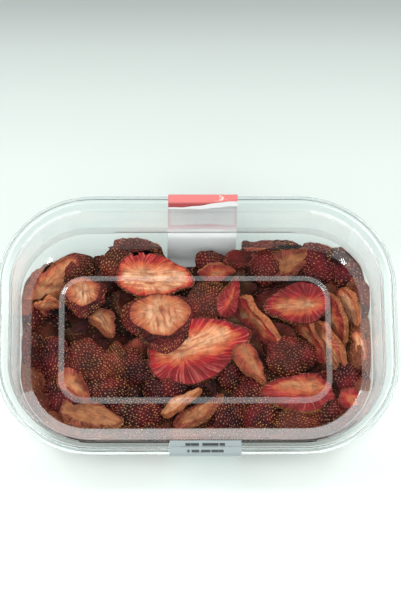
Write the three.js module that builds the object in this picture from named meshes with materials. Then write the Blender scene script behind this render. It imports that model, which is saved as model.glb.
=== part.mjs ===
// A clear thermoformed box, shut by a sunken push-fit lid and filled with dried strawberry slices.
// One paper strip runs from the lid's front edge, under the box, to the lid's back edge.
// Millimetres, +Z up. The box stands on Z = 0, with +X along its length and -Y at its front.
import * as THREE from 'three';

// ---- the box as a whole
const boxLength = 182;
const boxWidth = 124;
const boxHeight = 50;
const cornerRadius = 44;

// ---- sheets and clearances
const lidSheet = 0.5;
const traySheet = 0.6;
const fitGap = 0.3;

// ---- the lid's section, as insets from the outline and depths below the rim
const rimWidth = 2.6;
const stepDepth = 1.2;
const stepRun = 0.5;
const ledgeInset = 6.3;
const ledgeFall = 0.1;
const plugTopInset = 6.9;
const plugTopDepth = 2.3;
const plugFootInset = 10.0;
const plugFootDepth = 15.2;
const plugFootRadius = 32.5;
const panelInset = 15.3;
const panelDepth = 20.5;
const panelRadius = 26.5;
const plateauInset = 27.3;
const plateauRise = 0.9;
const plateauRun = 2.4;
const plateauRadius = 12;
const plugExtraInset = 1.8; // the plug foot is set in this much more along the long sides
const panelExtraInset = 2.9;

// ---- the snap bead round the plug, on the straight stretches only
const beadDepth = 4.2;
const beadHalfHeight = 1.0;
const beadReach = 0.6;
const beadEndRun = 1.8;

// ---- the tray
const lipInset = 0.2;
const lipDrop = 3.2;
const wallFootInset = 12.6;
const footRadius = 9;
const footSegments = 4;
const standWidth = 5;
const baseRise = 1.4;
const baseRiseRun = 1.6;
const baseLeastRadius = 10;

// ---- the paper strip
const stripCentreX = 3.2;
const stripWidth = 32;
const stripThickness = 0.3;
const channelMargin = 0.6;
const channelRamp = 1.2;
const channelLift = 0.9;
const stripWallDepth = 19;
const stripFloorGap = 0.1;
const stripEdgeMargin = 0.2; // how far the strip's folds stay clear of the edges that they follow
const stripFoldDrop = 0.5;
const stripFootAngles = [24, 46, 68];
const curlRise = 1.7;
const curlReach = 0.5;

// ---- the heap of slices
const heapGap = 0.35;
const heapLevel = 25.0;
const heapLeastHeight = 9;
const heapEdgeSwell = 7;
const heapEdgeRun = 9;
const slopeMargin = 1.3;
const heapHollows = [
  { x: -52, y: 40, radius: 24, depth: 13 },
  { x: -8, y: 50, radius: 17, depth: 11 },
  { x: 36, y: 50, radius: 9, depth: 5 },
];
const sliceCount = 64;
const sliceRadius = 15;
const sliceSlope = 0.22;
const sliceRelief = 3.4;
const sliceTurn = 2.3; // how fast the slices' tilt turns along the spiral
const sliceStagger = 1.7; // how fast their height goes up and down along it
const sliceFlatShare = 0.75; // a slice is flat over this much of its radius
const sliceEdgeFall = 6;
const heapEdgePasses = 3;
const heapCeilingSlope = 0.9;
const heapMouthMargin = 0.3;
const heapLongStops = [30, 12, -8, -26];
const heapShortStops = [8, -8];
const heapRowFractions = [0.94, 0.87, 0.79, 0.7, 0.61, 0.52, 0.43, 0.34, 0.25, 0.15];

// ---- roundness of the faceted corners
const cornerSegments = 8;
const heapCornerSegments = 8;

const halfLength = boxLength / 2;
const halfWidth = boxWidth / 2;
const longStraight = halfLength - cornerRadius;
const shortStraight = halfWidth - cornerRadius;

// Stops along the straight sides, from corner to corner. The bead and the channel begin and end on them.
const channelHalf = stripWidth / 2 + channelMargin;
const longStops = [
  longStraight - 1,
  longStraight - 1 - beadEndRun,
  stripCentreX + channelHalf + channelRamp,
  stripCentreX + channelHalf,
  stripCentreX - channelHalf,
  stripCentreX - channelHalf - channelRamp,
  -(longStraight - 1 - beadEndRun),
  -(longStraight - 1),
];
const shortStops = [
  shortStraight - 1,
  shortStraight - 1 - beadEndRun,
  -(shortStraight - 1 - beadEndRun),
  -(shortStraight - 1),
];

// A row is one trip round the box: { inset, extra, z, radius, bead, lift }.
// extra is added to the inset on the long sides, bead pushes the straight stretches outwards,
// and lift raises the row where the paper strip passes.
function row(inset, z, options = {}) {
  const { extra = 0, bead = 0, lift = 0 } = options;
  const { radius = Math.max(cornerRadius - inset - extra, baseLeastRadius) } = options;
  return { inset, z, extra, radius, bead, lift };
}

function ringPoints(ring) {
  const halfX = halfLength - ring.inset;
  const halfY = halfWidth - ring.inset - ring.extra;
  const radius = ring.radius;
  const points = [];
  const arc = (signX, signY, start) => {
    for (let i = 0; i <= cornerSegments; i += 1) {
      const angle = start + (i / cornerSegments) * (Math.PI / 2);
      const x = signX * (halfX - radius) + radius * Math.cos(angle);
      const y = signY * (halfY - radius) + radius * Math.sin(angle);
      points.push(new THREE.Vector3(x, y, ring.z));
    }
  };
  const beadAt = (stop, stops) => (Math.abs(stop) < stops[0] ? ring.bead : 0);
  const liftAt = (x) => (Math.abs(x - stripCentreX) <= channelHalf + 0.01 ? ring.lift : 0);
  const longSide = (signY, stops) => {
    for (const x of stops) {
      const y = signY * (halfY + beadAt(x, longStops));
      points.push(new THREE.Vector3(x, y, ring.z + liftAt(x)));
    }
  };
  const shortSide = (signX, stops) => {
    for (const y of stops) {
      points.push(new THREE.Vector3(signX * (halfX + beadAt(y, shortStops)), y, ring.z));
    }
  };
  arc(1, 1, 0);
  longSide(1, longStops);
  arc(-1, 1, Math.PI / 2);
  shortSide(-1, shortStops);
  arc(-1, -1, Math.PI);
  longSide(-1, [...longStops].reverse());
  arc(1, -1, 1.5 * Math.PI);
  shortSide(1, [...shortStops].reverse());
  return points;
}

// Closes a stack of rings into a solid, from the middle of its top, out and round to the middle below.
function loftRings(rings, topMiddleZ, undersideMiddleZ) {
  const count = rings[0].length;
  const positions = [];
  for (const ring of rings) {
    for (const point of ring) positions.push(point.x, point.y, point.z);
  }
  const top = rings.length * count;
  positions.push(0, 0, topMiddleZ, 0, 0, undersideMiddleZ);
  const indices = [];
  for (let j = 0; j < count; j += 1) {
    const next = (j + 1) % count;
    indices.push(top, j, next);
    for (let i = 0; i + 1 < rings.length; i += 1) {
      const here = i * count;
      const beyond = here + count;
      indices.push(here + j, beyond + j, beyond + next);
      indices.push(here + j, beyond + next, here + next);
    }
    const last = (rings.length - 1) * count;
    indices.push(top + 1, last + next, last + j);
  }
  const geometry = new THREE.BufferGeometry();
  geometry.setAttribute('position', new THREE.Float32BufferAttribute(positions, 3));
  geometry.setIndex(indices);
  geometry.computeVertexNormals();
  return geometry;
}

// The unit normal of the stretch between two rows, pointing down and out.
function stretchNormal(from, to) {
  return new THREE.Vector2(to.z - from.z, from.inset - to.inset).normalize();
}

// Moves a section's rows square to the section, down and out for a positive distance.
function offsetRows(rows, distance) {
  return rows.map((here, i) => {
    const before = i > 0 ? stretchNormal(rows[i - 1], here) : stretchNormal(here, rows[i + 1]);
    const after = i + 1 < rows.length ? stretchNormal(here, rows[i + 1]) : before;
    const mitre = before.clone().add(after).normalize();
    const reach = distance / mitre.dot(before);
    return {
      ...here,
      inset: here.inset + mitre.x * reach,
      z: here.z + mitre.y * reach,
      radius: here.radius - mitre.x * reach,
    };
  });
}

// Turns a sheet's upper rows, listed from the edge to the middle, into its closed body.
function sheetSolid(upperRows, thickness) {
  const lowerRows = offsetRows(upperRows, thickness);
  const upperRings = [...upperRows].reverse().map(ringPoints);
  const lowerRings = lowerRows.map(ringPoints);
  const topMiddleZ = upperRows[upperRows.length - 1].z;
  const undersideMiddleZ = lowerRows[lowerRows.length - 1].z;
  return loftRings([...upperRings, ...lowerRings], topMiddleZ, undersideMiddleZ);
}

// The extra inset of the long sides grows steadily down the plug.
function plugExtraAt(depth) {
  const share = (depth - plugTopDepth) / (plugFootDepth - plugTopDepth);
  return plugExtraInset * THREE.MathUtils.clamp(share, 0, 1);
}

function plugRow(depth, options = {}) {
  const share = (depth - plugTopDepth) / (plugFootDepth - plugTopDepth);
  const inset = THREE.MathUtils.lerp(plugTopInset, plugFootInset, share);
  const radius = THREE.MathUtils.lerp(cornerRadius - plugTopInset, plugFootRadius, share);
  return row(inset, boxHeight - depth, { extra: plugExtraAt(depth), radius, ...options });
}

// The stretch that the lid and the tray share: rim, step, ledge and the snap-fitting plug wall.
function sharedRows() {
  return [
    row(rimWidth, boxHeight),
    row(rimWidth + stepRun, boxHeight - stepDepth),
    row(ledgeInset, boxHeight - stepDepth - ledgeFall),
    plugRow(plugTopDepth),
    plugRow(beadDepth - beadHalfHeight),
    plugRow(beadDepth, { bead: beadReach }),
    plugRow(beadDepth + beadHalfHeight),
    plugRow(plugFootDepth),
  ];
}

function lidRows() {
  const panelZ = boxHeight - panelDepth;
  const extra = panelExtraInset;
  const plateauTop = plateauInset + plateauRun;
  return [
    row(0, boxHeight),
    ...sharedRows(),
    row(panelInset, panelZ, { extra, radius: panelRadius }),
    row(plateauInset, panelZ, { extra, radius: plateauRadius }),
    row(plateauTop, panelZ + plateauRise, { extra, radius: plateauRadius - plateauRun }),
  ];
}

function trayRows() {
  const mated = offsetRows([row(0, boxHeight), ...sharedRows()], lidSheet + fitGap);
  const [edge, ...rest] = mated;
  const extra = plugExtraInset;
  const footCentreInset = wallFootInset + footRadius;
  const innerRadius = footRadius - traySheet;
  const foot = [];
  for (let i = 0; i <= footSegments; i += 1) {
    const angle = (i / footSegments) * (Math.PI / 2);
    const inset = footCentreInset - innerRadius * Math.cos(angle);
    const z = footRadius - innerRadius * Math.sin(angle);
    const lift = z < footRadius / 2 ? channelLift : 0;
    foot.push(row(inset, z, { extra, lift }));
  }
  const standInset = footCentreInset + standWidth;
  const baseInset = standInset + baseRiseRun;
  return [
    row(lipInset, boxHeight - lipDrop),
    row(lipInset, edge.z),
    ...rest,
    ...foot,
    row(standInset, traySheet, { extra, lift: channelLift }),
    row(baseInset, traySheet + baseRise, { extra }),
  ];
}

// How far a point lies inside the outline of the lid's panel side, measured square to the wall.
function insetAt(x, y) {
  const halfY = halfWidth - plugExtraInset;
  const qx = Math.abs(x) - (halfLength - cornerRadius);
  const qy = Math.abs(y) - (halfY - cornerRadius);
  const outside = Math.hypot(Math.max(qx, 0), Math.max(qy, 0));
  return cornerRadius - outside - Math.min(Math.max(qx, qy), 0);
}

// A slice lies at each step of an even spiral, tilted its own way; the highest one shows.
function sliceReliefAt(x, y) {
  const goldenAngle = Math.PI * (3 - Math.sqrt(5));
  let highest = -1;
  for (let i = 0; i < sliceCount; i += 1) {
    const share = Math.sqrt((i + 0.5) / sliceCount);
    const angle = i * goldenAngle;
    const dx = x - share * halfLength * Math.cos(angle);
    const dy = y - share * halfWidth * Math.sin(angle);
    const distance = Math.hypot(dx, dy);
    const tilt = angle * sliceTurn;
    const slope = sliceSlope * (dx * Math.cos(tilt) + dy * Math.sin(tilt));
    const height = Math.sin(i * sliceStagger) + slope / 2;
    const edgeFall = Math.max(0, distance / sliceRadius - sliceFlatShare) * sliceEdgeFall;
    highest = Math.max(highest, height - edgeFall);
  }
  return Math.min(highest, 1) * sliceRelief;
}

function heapHeightAt(x, y) {
  const inset = insetAt(x, y);
  const edgeShare = THREE.MathUtils.clamp(1 - (inset - plugFootInset) / heapEdgeRun, 0, 1);
  let height = heapLevel + sliceReliefAt(x, y) + heapEdgeSwell * edgeShare;
  for (const hollow of heapHollows) {
    const away = Math.hypot(x - hollow.x, y - hollow.y) / hollow.radius;
    height -= hollow.depth * Math.exp(-away * away);
  }
  const panelUnderside = boxHeight - panelDepth - lidSheet;
  const underSlope = THREE.MathUtils.clamp(panelInset - inset - slopeMargin, 0, panelInset - plugFootInset);
  const ceiling = panelUnderside - heapGap + underSlope * heapCeilingSlope;
  return THREE.MathUtils.clamp(height, heapLeastHeight + 1, ceiling);
}

function heapRing(inset, z, radius) {
  const halfX = halfLength - inset;
  const halfY = halfWidth - inset - plugExtraInset;
  const points = [];
  for (const [signX, signY, start] of [[1, 1, 0], [-1, 1, 0.5], [-1, -1, 1], [1, -1, 1.5]]) {
    for (let i = 0; i <= heapCornerSegments; i += 1) {
      const angle = start * Math.PI + (i / heapCornerSegments) * (Math.PI / 2);
      const x = signX * (halfX - radius) + radius * Math.cos(angle);
      const y = signY * (halfY - radius) + radius * Math.sin(angle);
      points.push(new THREE.Vector3(x, y, z));
    }
    const stops = signX === signY ? heapLongStops : heapShortStops;
    for (const stop of stops) {
      const point = signX === signY
        ? new THREE.Vector3(signY * stop, signY * halfY, z)
        : new THREE.Vector3(-signY * halfX, signY * stop, z);
      points.push(point);
    }
  }
  return points;
}

function heapSolid() {
  const tray = trayRows();
  const foot = tray.slice(-(footSegments + 3));
  const inner = offsetRows(foot, -heapGap);
  const wallFoot = inner[0];
  const mouthInset = plugFootInset - lidSheet - fitGap + heapGap + heapMouthMargin;
  const mouthZ = boxHeight - plugFootDepth;
  const wallRadius = cornerRadius - wallFoot.inset - plugExtraInset;
  const rim = heapRing(wallFoot.inset, 0, wallRadius).map((start, j) => {
    let edge = start;
    for (let pass = 0; pass < heapEdgePasses; pass += 1) {
      const z = heapHeightAt(edge.x, edge.y);
      const share = (z - wallFoot.z) / (mouthZ - wallFoot.z);
      const inset = THREE.MathUtils.lerp(wallFoot.inset, mouthInset, share);
      edge = heapRing(inset, z, wallRadius + wallFoot.inset - inset)[j];
    }
    return edge;
  });
  const top = heapRowFractions.map((fraction) => rim.map((edge) => {
    const x = edge.x * fraction;
    const y = edge.y * fraction;
    return new THREE.Vector3(x, y, heapHeightAt(x, y));
  }));
  const under = inner.map((part) => heapRing(part.inset, part.z + (part.lift || 0), part.radius));
  const rings = [...top.reverse(), rim, ...under];
  return loftRings(rings, heapHeightAt(0, 0), inner[inner.length - 1].z);
}

// The centre line of the strip square to X, as points (y, z), from its front end to its curled back end.
function stripLine() {
  const lift = fitGap + stripThickness / 2;
  const edge = halfWidth + lift;
  const top = boxHeight + lift;
  const ledgeZ = boxHeight - stepDepth - ledgeFall + lift;
  const floorZ = stripFloorGap + stripThickness / 2;
  const wallOut = (z) => {
    const share = (z - footRadius) / (boxHeight - plugFootDepth - footRadius);
    const inset = THREE.MathUtils.lerp(wallFootInset, plugFootInset - lidSheet - fitGap - traySheet, share);
    return halfWidth - inset - plugExtraInset + lift;
  };
  const front = [];
  front.push([halfWidth - ledgeInset + stripEdgeMargin, ledgeZ]);
  front.push([halfWidth - rimWidth - stepRun - stripEdgeMargin, ledgeZ]);
  front.push([halfWidth - rimWidth, top]);
  front.push([edge - stripFoldDrop, top]);
  front.push([edge, top - stripFoldDrop]);
  front.push([edge, boxHeight - lipDrop - stripFoldDrop]);
  front.push([wallOut(boxHeight - stripWallDepth), boxHeight - stripWallDepth]);
  front.push([wallOut(footRadius), footRadius]);
  const footCentreY = halfWidth - wallFootInset - plugExtraInset - footRadius;
  for (const angle of stripFootAngles) {
    const reach = (footRadius + lift) * Math.cos(THREE.MathUtils.degToRad(angle));
    const drop = (footRadius + lift) * Math.sin(THREE.MathUtils.degToRad(angle));
    const z = Math.max(footRadius - drop, floorZ);
    front.push([footCentreY + reach, z]);
  }
  front.push([footCentreY - 1, floorZ]);
  const back = [...front].reverse();
  const curled = back.slice(0, -2);
  curled.push([halfWidth - (rimWidth + ledgeInset) / 2, top + curlRise * 0.1]);
  curled.push([halfWidth - ledgeInset + curlReach, top + curlRise * 0.4]);
  curled.push([halfWidth - ledgeInset - curlReach, top + curlRise]);
  return [...front.map(([y, z]) => [-y, z]), ...curled];
}

// The strip's section: its centre line given a thickness, then run across the strip's width.
function stripSolid() {
  const line = stripLine().map(([y, z]) => new THREE.Vector2(y, z));
  const sides = [1, -1].map((side) => line.map((here, i) => {
    const before = line[Math.max(i - 1, 0)];
    const after = line[Math.min(i + 1, line.length - 1)];
    const along = after.clone().sub(before).normalize();
    const offset = side * (stripThickness / 2);
    return new THREE.Vector2(here.x - along.y * offset, here.y + along.x * offset);
  }));
  const outline = new THREE.Shape([...sides[0], ...sides[1].reverse()]);
  const geometry = new THREE.ExtrudeGeometry(outline, { depth: stripWidth, bevelEnabled: false });
  // The shape's own x, y and depth become the box's Y, Z and X.
  const turn = new THREE.Matrix4().makeBasis(
    new THREE.Vector3(0, 1, 0),
    new THREE.Vector3(0, 0, 1),
    new THREE.Vector3(1, 0, 0),
  );
  geometry.applyMatrix4(turn);
  geometry.translate(stripCentreX - stripWidth / 2, 0, 0);
  return geometry;
}

function part(name, geometry, look) {
  const mesh = new THREE.Mesh(geometry, new THREE.MeshStandardMaterial(look));
  mesh.name = name;
  return mesh;
}

const clearSheet = { color: 0xdfeaea, roughness: 0.08, metalness: 0, transparent: true, opacity: 0.3 };

const group = new THREE.Group();
group.add(part('tray', sheetSolid(trayRows(), traySheet), clearSheet));
group.add(part('lid', sheetSolid(lidRows(), lidSheet), clearSheet));
group.add(part('strawberry_slices', heapSolid(), { color: 0x6e2420, roughness: 0.7, metalness: 0 }));
group.add(part('paper_strip', stripSolid(), { color: 0xe9e6e4, roughness: 0.6, metalness: 0 }));

export default group;
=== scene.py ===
import math

import bmesh
import bpy
import numpy as np
from mathutils import Euler, Matrix, Vector


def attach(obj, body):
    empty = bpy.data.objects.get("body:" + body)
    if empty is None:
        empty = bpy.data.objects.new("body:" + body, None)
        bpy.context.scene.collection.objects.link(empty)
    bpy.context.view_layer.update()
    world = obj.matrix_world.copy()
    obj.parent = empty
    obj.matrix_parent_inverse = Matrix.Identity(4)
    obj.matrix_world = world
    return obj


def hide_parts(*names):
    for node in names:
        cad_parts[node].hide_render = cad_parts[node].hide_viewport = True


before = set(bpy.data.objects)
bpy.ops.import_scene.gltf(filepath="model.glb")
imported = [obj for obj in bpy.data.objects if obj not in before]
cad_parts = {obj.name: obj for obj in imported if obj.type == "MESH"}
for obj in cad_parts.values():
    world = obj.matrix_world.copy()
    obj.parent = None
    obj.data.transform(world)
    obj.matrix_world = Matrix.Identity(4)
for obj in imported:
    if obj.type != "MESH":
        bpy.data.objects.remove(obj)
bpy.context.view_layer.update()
mm = 0.001
scene = bpy.context.scene

# the box's own sizes, in millimetres, as the frame has them
box = {
    "halfLength": 91.0,
    "halfWidth": 62.0,
    "height": 50.0,
    "corner": 44.0,
    "narrower": 1.8,  # how much further in the long sides of the sunken part come than its ends
    "lidSheet": 0.5,
    "traySheet": 0.6,
    "gap": 0.3,
}


# small helpers that every piece uses
def deselectAll():
    if bpy.context.object and bpy.context.object.mode != "OBJECT":
        bpy.ops.object.mode_set(mode="OBJECT")
    bpy.ops.object.select_all(action="DESELECT")


def makeActive(obj):
    deselectAll()
    obj.select_set(True)
    bpy.context.view_layer.objects.active = obj


def newShape(primitive, name="template", **sizes):  # a primitive at the origin, all of it selected
    deselectAll()
    getattr(bpy.ops.mesh, "primitive_" + primitive + "_add")(location=(0, 0, 0), **sizes)
    obj = bpy.context.object
    obj.name = obj.data.name = name
    return obj


def startEditing():
    bpy.ops.object.mode_set(mode="EDIT")
    bpy.ops.mesh.select_all(action="SELECT")


def applyModifier(obj, kind, **settings):
    modifier = obj.modifiers.new(kind.lower(), kind)
    for key, value in settings.items():
        setattr(modifier, key, value)
    makeActive(obj)
    bpy.ops.object.modifier_apply(modifier=modifier.name)


def smoothByAngle(obj, degrees):
    makeActive(obj)
    bpy.ops.object.shade_smooth_by_angle(angle=math.radians(degrees))


def finishPiece(obj, node, slotName, materials=()):
    for material in materials:
        obj.data.materials.append(material)
    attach(obj, "root")
    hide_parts(node)
    return obj


def smoothStep(low, high, value):
    share = np.clip((value - low) / (high - low), 0, 1)
    return share * share * (3 - 2 * share)


def between(ends, share):
    return ends[0] + share * (ends[1] - ends[0])


def shade(red, green, blue):  # the colour as a screen shows it, turned into what a shader takes
    return tuple((value / 255) ** 2.2 for value in (red, green, blue))


# shader helpers: a tree is a material's, the world's or a group's
def setInput(tree, socket, value):  # a plain value is set on the socket, anything else is a link
    if isinstance(value, tuple):
        socket.default_value = value if len(value) == len(socket.default_value) else (*value, 1)
    elif isinstance(value, (int, float)):
        socket.default_value = value
    else:
        tree.links.new(value, socket)


def placeNode(tree, kind, inputs=None, **settings):
    node = tree.nodes.new("ShaderNode" + kind)
    for key, value in settings.items():
        setattr(node, key, value)
    for name, value in (inputs or {}).items():
        setInput(tree, node.inputs[name], value)
    return node


def noiseNode(tree, vector, scale, detail=3.0):
    inputs = {"Vector": vector, "Scale": scale, "Detail": detail, "Roughness": 0.55}
    return placeNode(tree, "TexNoise", inputs).outputs["Fac"]


def rangeNode(tree, value, fromMin, fromMax, toMin=0.0, toMax=1.0):
    inputs = {"Value": value, "From Min": fromMin, "From Max": fromMax, "To Min": toMin, "To Max": toMax}
    return placeNode(tree, "MapRange", inputs, interpolation_type="SMOOTHSTEP").outputs["Result"]


def mathNode(tree, operation, *values):
    return placeNode(tree, "Math", dict(enumerate(values)), operation=operation).outputs[0]


def product(tree, first, *others):
    for other in others:
        first = mathNode(tree, "MULTIPLY", first, other)
    return first


def mixColours(tree, factor, first, second, blend="MIX"):
    inputs = {0: factor, 6: first, 7: second}
    return placeNode(tree, "Mix", inputs, data_type="RGBA", blend_type=blend, clamp_factor=True).outputs[2]


def rampNode(tree, value, stops):
    node = placeNode(tree, "ValToRGB", {"Fac": value})
    ramp = node.color_ramp
    while len(ramp.elements) > 1:
        ramp.elements.remove(ramp.elements[0])
    ramp.elements[0].position = stops[0][0]
    ramp.elements[0].color = (*stops[0][1], 1)
    for place, colour in stops[1:]:
        ramp.elements.new(place).color = (*colour, 1)
    return node.outputs["Color"]


def attributeNode(tree, name):
    return placeNode(tree, "Attribute", attribute_type="GEOMETRY", attribute_name=name).outputs


def splitVector(tree, vector):
    return tuple(placeNode(tree, "SeparateXYZ", {"Vector": vector}).outputs)


def scaledVector(tree, vector, *scale):
    return placeNode(tree, "Mapping", {"Vector": vector, "Scale": scale}).outputs["Vector"]


def bumpChain(tree, *heights):  # each is a height, how strongly it shows and how deep it is in metres
    normal = None
    for height, strength, distance in heights:
        before = {} if normal is None else {"Normal": normal}
        inputs = {"Height": height, "Strength": strength, "Distance": distance, **before}
        normal = placeNode(tree, "Bump", inputs).outputs["Normal"]
    return normal


def newMaterial(name):
    material = bpy.data.materials.new(name)
    material.use_nodes = True
    tree = material.node_tree
    tree.nodes.clear()
    return material, tree, placeNode(tree, "TexCoord").outputs["Object"]


def cover(tree, inputs):
    shader = placeNode(tree, "BsdfPrincipled", inputs)
    placeNode(tree, "OutputMaterial", {"Surface": shader.outputs[0]})


def newGroup(name, inputs, outputs):
    # an effect that several materials share; each socket is a name and its kind
    group = bpy.data.node_groups.new(name, "ShaderNodeTree")
    for way, sockets in (("INPUT", inputs), ("OUTPUT", outputs)):
        for socketName, kind in sockets.items():
            group.interface.new_socket(name=socketName, in_out=way, socket_type="NodeSocket" + kind)
    return group, group.nodes.new("NodeGroupInput").outputs, group.nodes.new("NodeGroupOutput").inputs


def placeGroup(tree, group, values):
    return placeNode(tree, "Group", values, node_tree=group).outputs


# camera, lights and floor
cameraSizes = {
    "place": (-28.1, -413.1, 1177.0),  # mm
    "turn": (20.601, -1.3, -0.557),  # degrees
    "lens": 238.3,
    "sensor": 36.0,
    "clip": (0.01, 20),  # m
}


def addCamera(sizes):
    data = bpy.data.cameras.new("camera")
    data.sensor_fit = "HORIZONTAL"
    data.sensor_width = sizes["sensor"]
    data.lens = sizes["lens"]
    data.clip_start, data.clip_end = sizes["clip"]
    camera = bpy.data.objects.new("camera", data)
    camera.location = Vector(sizes["place"]) * mm
    camera.rotation_euler = Euler([math.radians(angle) for angle in sizes["turn"]])
    scene.collection.objects.link(camera)
    scene.camera = camera


studio = {
    "floorSize": 6,  # m
    "floorTint": (0.925, 1.0, 0.968),
    "floorLightAndShade": (  # painted light and shade on the floor, bright in front and darker towards the back: mm from the middle, front to back, and tone
        (-150, 0.88), (-112, 0.97), (-74, 0.99), (-69, 0.97), (-63, 0.79), (-40, 0.68),
        (20, 0.67), (100, 0.618), (134, 0.55), (161, 0.46), (185, 0.335), (230, 0.29),
    ),
    "glow": 0.7,  # the light that the clear ends gather on the floor
    "airTint": (0.955, 1.0, 0.985),
    "horizon": 1.35,
    "overhead": 0.85,
    "sides": 0.75,  # how bright the room is to the left and right, beside the back's 1
    "front": 0.85,
    "unlit": ((0.023, 0.343, 0.939), 0.972, 0.9, 0.04),  # where the flat panel looks, kept dark
    "lights": (  # place and target in metres, size, power and whether it shows in reflections
        ("overheadFill", (-0.1, -0.22, 1.0), (0, 0, 0), 0.75, 6.2, False),
        ("rightKey", (0.55, 0.75, 0.75), (0, 0, 0.03), 0.26, 1.5, True),
        ("leftKey", (-0.62, 0.7, 0.7), (0, 0, 0.03), 0.22, 1.5, True),
        ("rightGlint", (0.5, -0.24, 0.83), (0, 0, 0.03), 0.1, 0.6, True),
        ("leftGlint", (-0.5, -0.24, 0.83), (0, 0, 0.03), 0.1, 0.6, True),
    ),
}


def addAreaLight(name, place, target, size, power, inReflections):
    data = bpy.data.lights.new(name, "AREA")
    data.shape = "RECTANGLE"
    data.size = data.size_y = size
    data.energy = power
    light = bpy.data.objects.new(name, data)
    light.location = place
    light.rotation_euler = (Vector(target) - Vector(place)).to_track_quat("-Z", "Y").to_euler()
    light.visible_glossy = light.visible_transmission = inReflections
    light.visible_camera = False
    scene.collection.objects.link(light)


def addWorld(sizes):
    world = bpy.data.worlds.new("studio")
    scene.world = world
    world.use_nodes = True
    tree = world.node_tree
    tree.nodes.clear()
    way = placeNode(tree, "TexCoord").outputs["Generated"]
    x, y, z = splitVector(tree, way)
    upwards = rangeNode(tree, z, 0.62, 0.9, sizes["horizon"], sizes["overhead"])
    around = rangeNode(tree, mathNode(tree, "ABSOLUTE", x), 0.45, 0.85, 1.0, sizes["sides"])
    ahead = rangeNode(tree, y, -0.6, 0.1, sizes["front"], 1.0)
    middle, closest, widest, tone = sizes["unlit"]
    apart = placeNode(tree, "VectorMath", {0: way, 1: middle}, operation="DOT_PRODUCT").outputs["Value"]
    unlit = rangeNode(tree, apart, widest, closest, 1.0, tone)
    bright = product(tree, upwards, around, ahead, unlit)
    background = placeNode(tree, "Background", {"Color": sizes["airTint"], "Strength": bright})
    placeNode(tree, "OutputWorld", {"Surface": background.outputs[0]})


def floorMaterial(sizes):
    material, tree, place = newMaterial("paleFloor")
    x, y, _ = splitVector(tree, place)
    # the floor's painted light and shade, from front to back
    tones = sizes["floorLightAndShade"]
    low, high = tones[0][0], tones[-1][0]
    inputs = {"Value": y, "From Min": low * mm, "From Max": high * mm}
    run = placeNode(tree, "MapRange", inputs).outputs["Result"]
    stops = [((at - low) / (high - low), tuple(tone * c for c in sizes["floorTint"])) for at, tone in tones]
    grain = rangeNode(tree, noiseNode(tree, place, 6.0), 0.3, 0.7, 0.0, 0.03)
    colour = mixColours(tree, grain, rampNode(tree, run, stops), (0.5, 0.5, 0.5))
    across, along = mathNode(tree, "ABSOLUTE", x), mathNode(tree, "ABSOLUTE", y)
    outwards, inwards = rangeNode(tree, across, 0.055, 0.075), rangeNode(tree, across, 0.085, 0.115, 1.0, 0.0)
    glow = product(tree, outwards, inwards, rangeNode(tree, along, 0.03, 0.06, sizes["glow"], 0.0))
    colour = mixColours(tree, glow, colour, sizes["floorTint"])
    cover(tree, {"Base Color": colour, "Roughness": 0.9, "Specular IOR Level": 0.1})
    return material


def addStudio(sizes):
    addWorld(sizes)
    for light in sizes["lights"]:
        addAreaLight(*light)
    floor = newShape("plane", "floor", size=sizes["floorSize"])
    floor.data.materials.append(floorMaterial(sizes))


lightPaths = {
    "max_bounces": 24,
    "transmission_bounces": 20,
    "transparent_max_bounces": 32,
    "glossy_bounces": 6,
    "diffuse_bounces": 3,
    "caustics_reflective": False,
    "caustics_refractive": False,
    "use_denoising": True,
}

addCamera(cameraSizes)
addStudio(studio)
scene.view_settings.view_transform = "Standard"
scene.view_settings.look = "None"
for setting, value in lightPaths.items():
    setattr(scene.cycles, setting, value)
print("camera, lights and floor are in")


def makeFormedSurface():
    # slow swirls in the gloss and faint ripples, as a thin formed sheet has
    inputs = {"Vector": "Vector", "Smoothest": "Float", "Roughest": "Float", "Ripple": "Float"}
    group, given, result = newGroup("formedSurface", inputs, {"Roughness": "Float", "Normal": "Vector"})
    swirl = noiseNode(group, given["Vector"], 22.0, 2.0)
    roughness = rangeNode(group, swirl, 0.3, 0.7, given["Smoothest"], given["Roughest"])
    setInput(group, result["Roughness"], roughness)
    ripples = noiseNode(group, given["Vector"], 55.0, 2.0)
    setInput(group, result["Normal"], bumpChain(group, (ripples, given["Ripple"], 0.0004)))
    return group


formedSurface = makeFormedSurface()


def clearPlastic(name, tint, clearness=1.0):
    material, tree, place = newMaterial(name)
    finish = {"Vector": place, "Smoothest": 0.015, "Roughest": 0.05, "Ripple": 0.05}
    surface = placeGroup(tree, formedSurface, finish)
    glass = placeNode(tree, "BsdfPrincipled", {
        "Base Color": tint,
        "Metallic": 0,
        "Roughness": surface["Roughness"],
        "Normal": surface["Normal"],
        "IOR": 1.36,
        "Transmission Weight": clearness,
        "Coat Weight": attributeNode(tree, "drawn")["Fac"],  # stretched slopes look milky
        "Coat IOR": 2.0,
        "Coat Roughness": 0.3,
    })
    clear = placeNode(tree, "BsdfTransparent")
    rays = placeNode(tree, "LightPath").outputs
    through = mathNode(tree, "MAXIMUM", rays["Is Shadow Ray"], rays["Is Diffuse Ray"])
    mix = placeNode(tree, "MixShader", {0: through, 1: glass.outputs[0], 2: clear.outputs[0]})
    placeNode(tree, "OutputMaterial", {"Surface": mix.outputs[0]})
    return material


def allPlastics(looks):
    return [clearPlastic(name, *look) for name, look in looks.items()]


sheetDetail = {
    "cornerSegments": 20,
    "longCuts": 46,
    "shortCuts": 17,
    "softEdge": 0.45,  # mm, the radius of the formed folds
    "softSegments": 3,
    "foldAngle": 16,  # degrees, the least that counts as a fold
    "smallestCorner": 8,  # mm
    "steepness": (0.004, 0.03),  # how far a drawn face's normal is from upright, at least and in full
    "smoothAngle": 40,  # degrees
}


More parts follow.
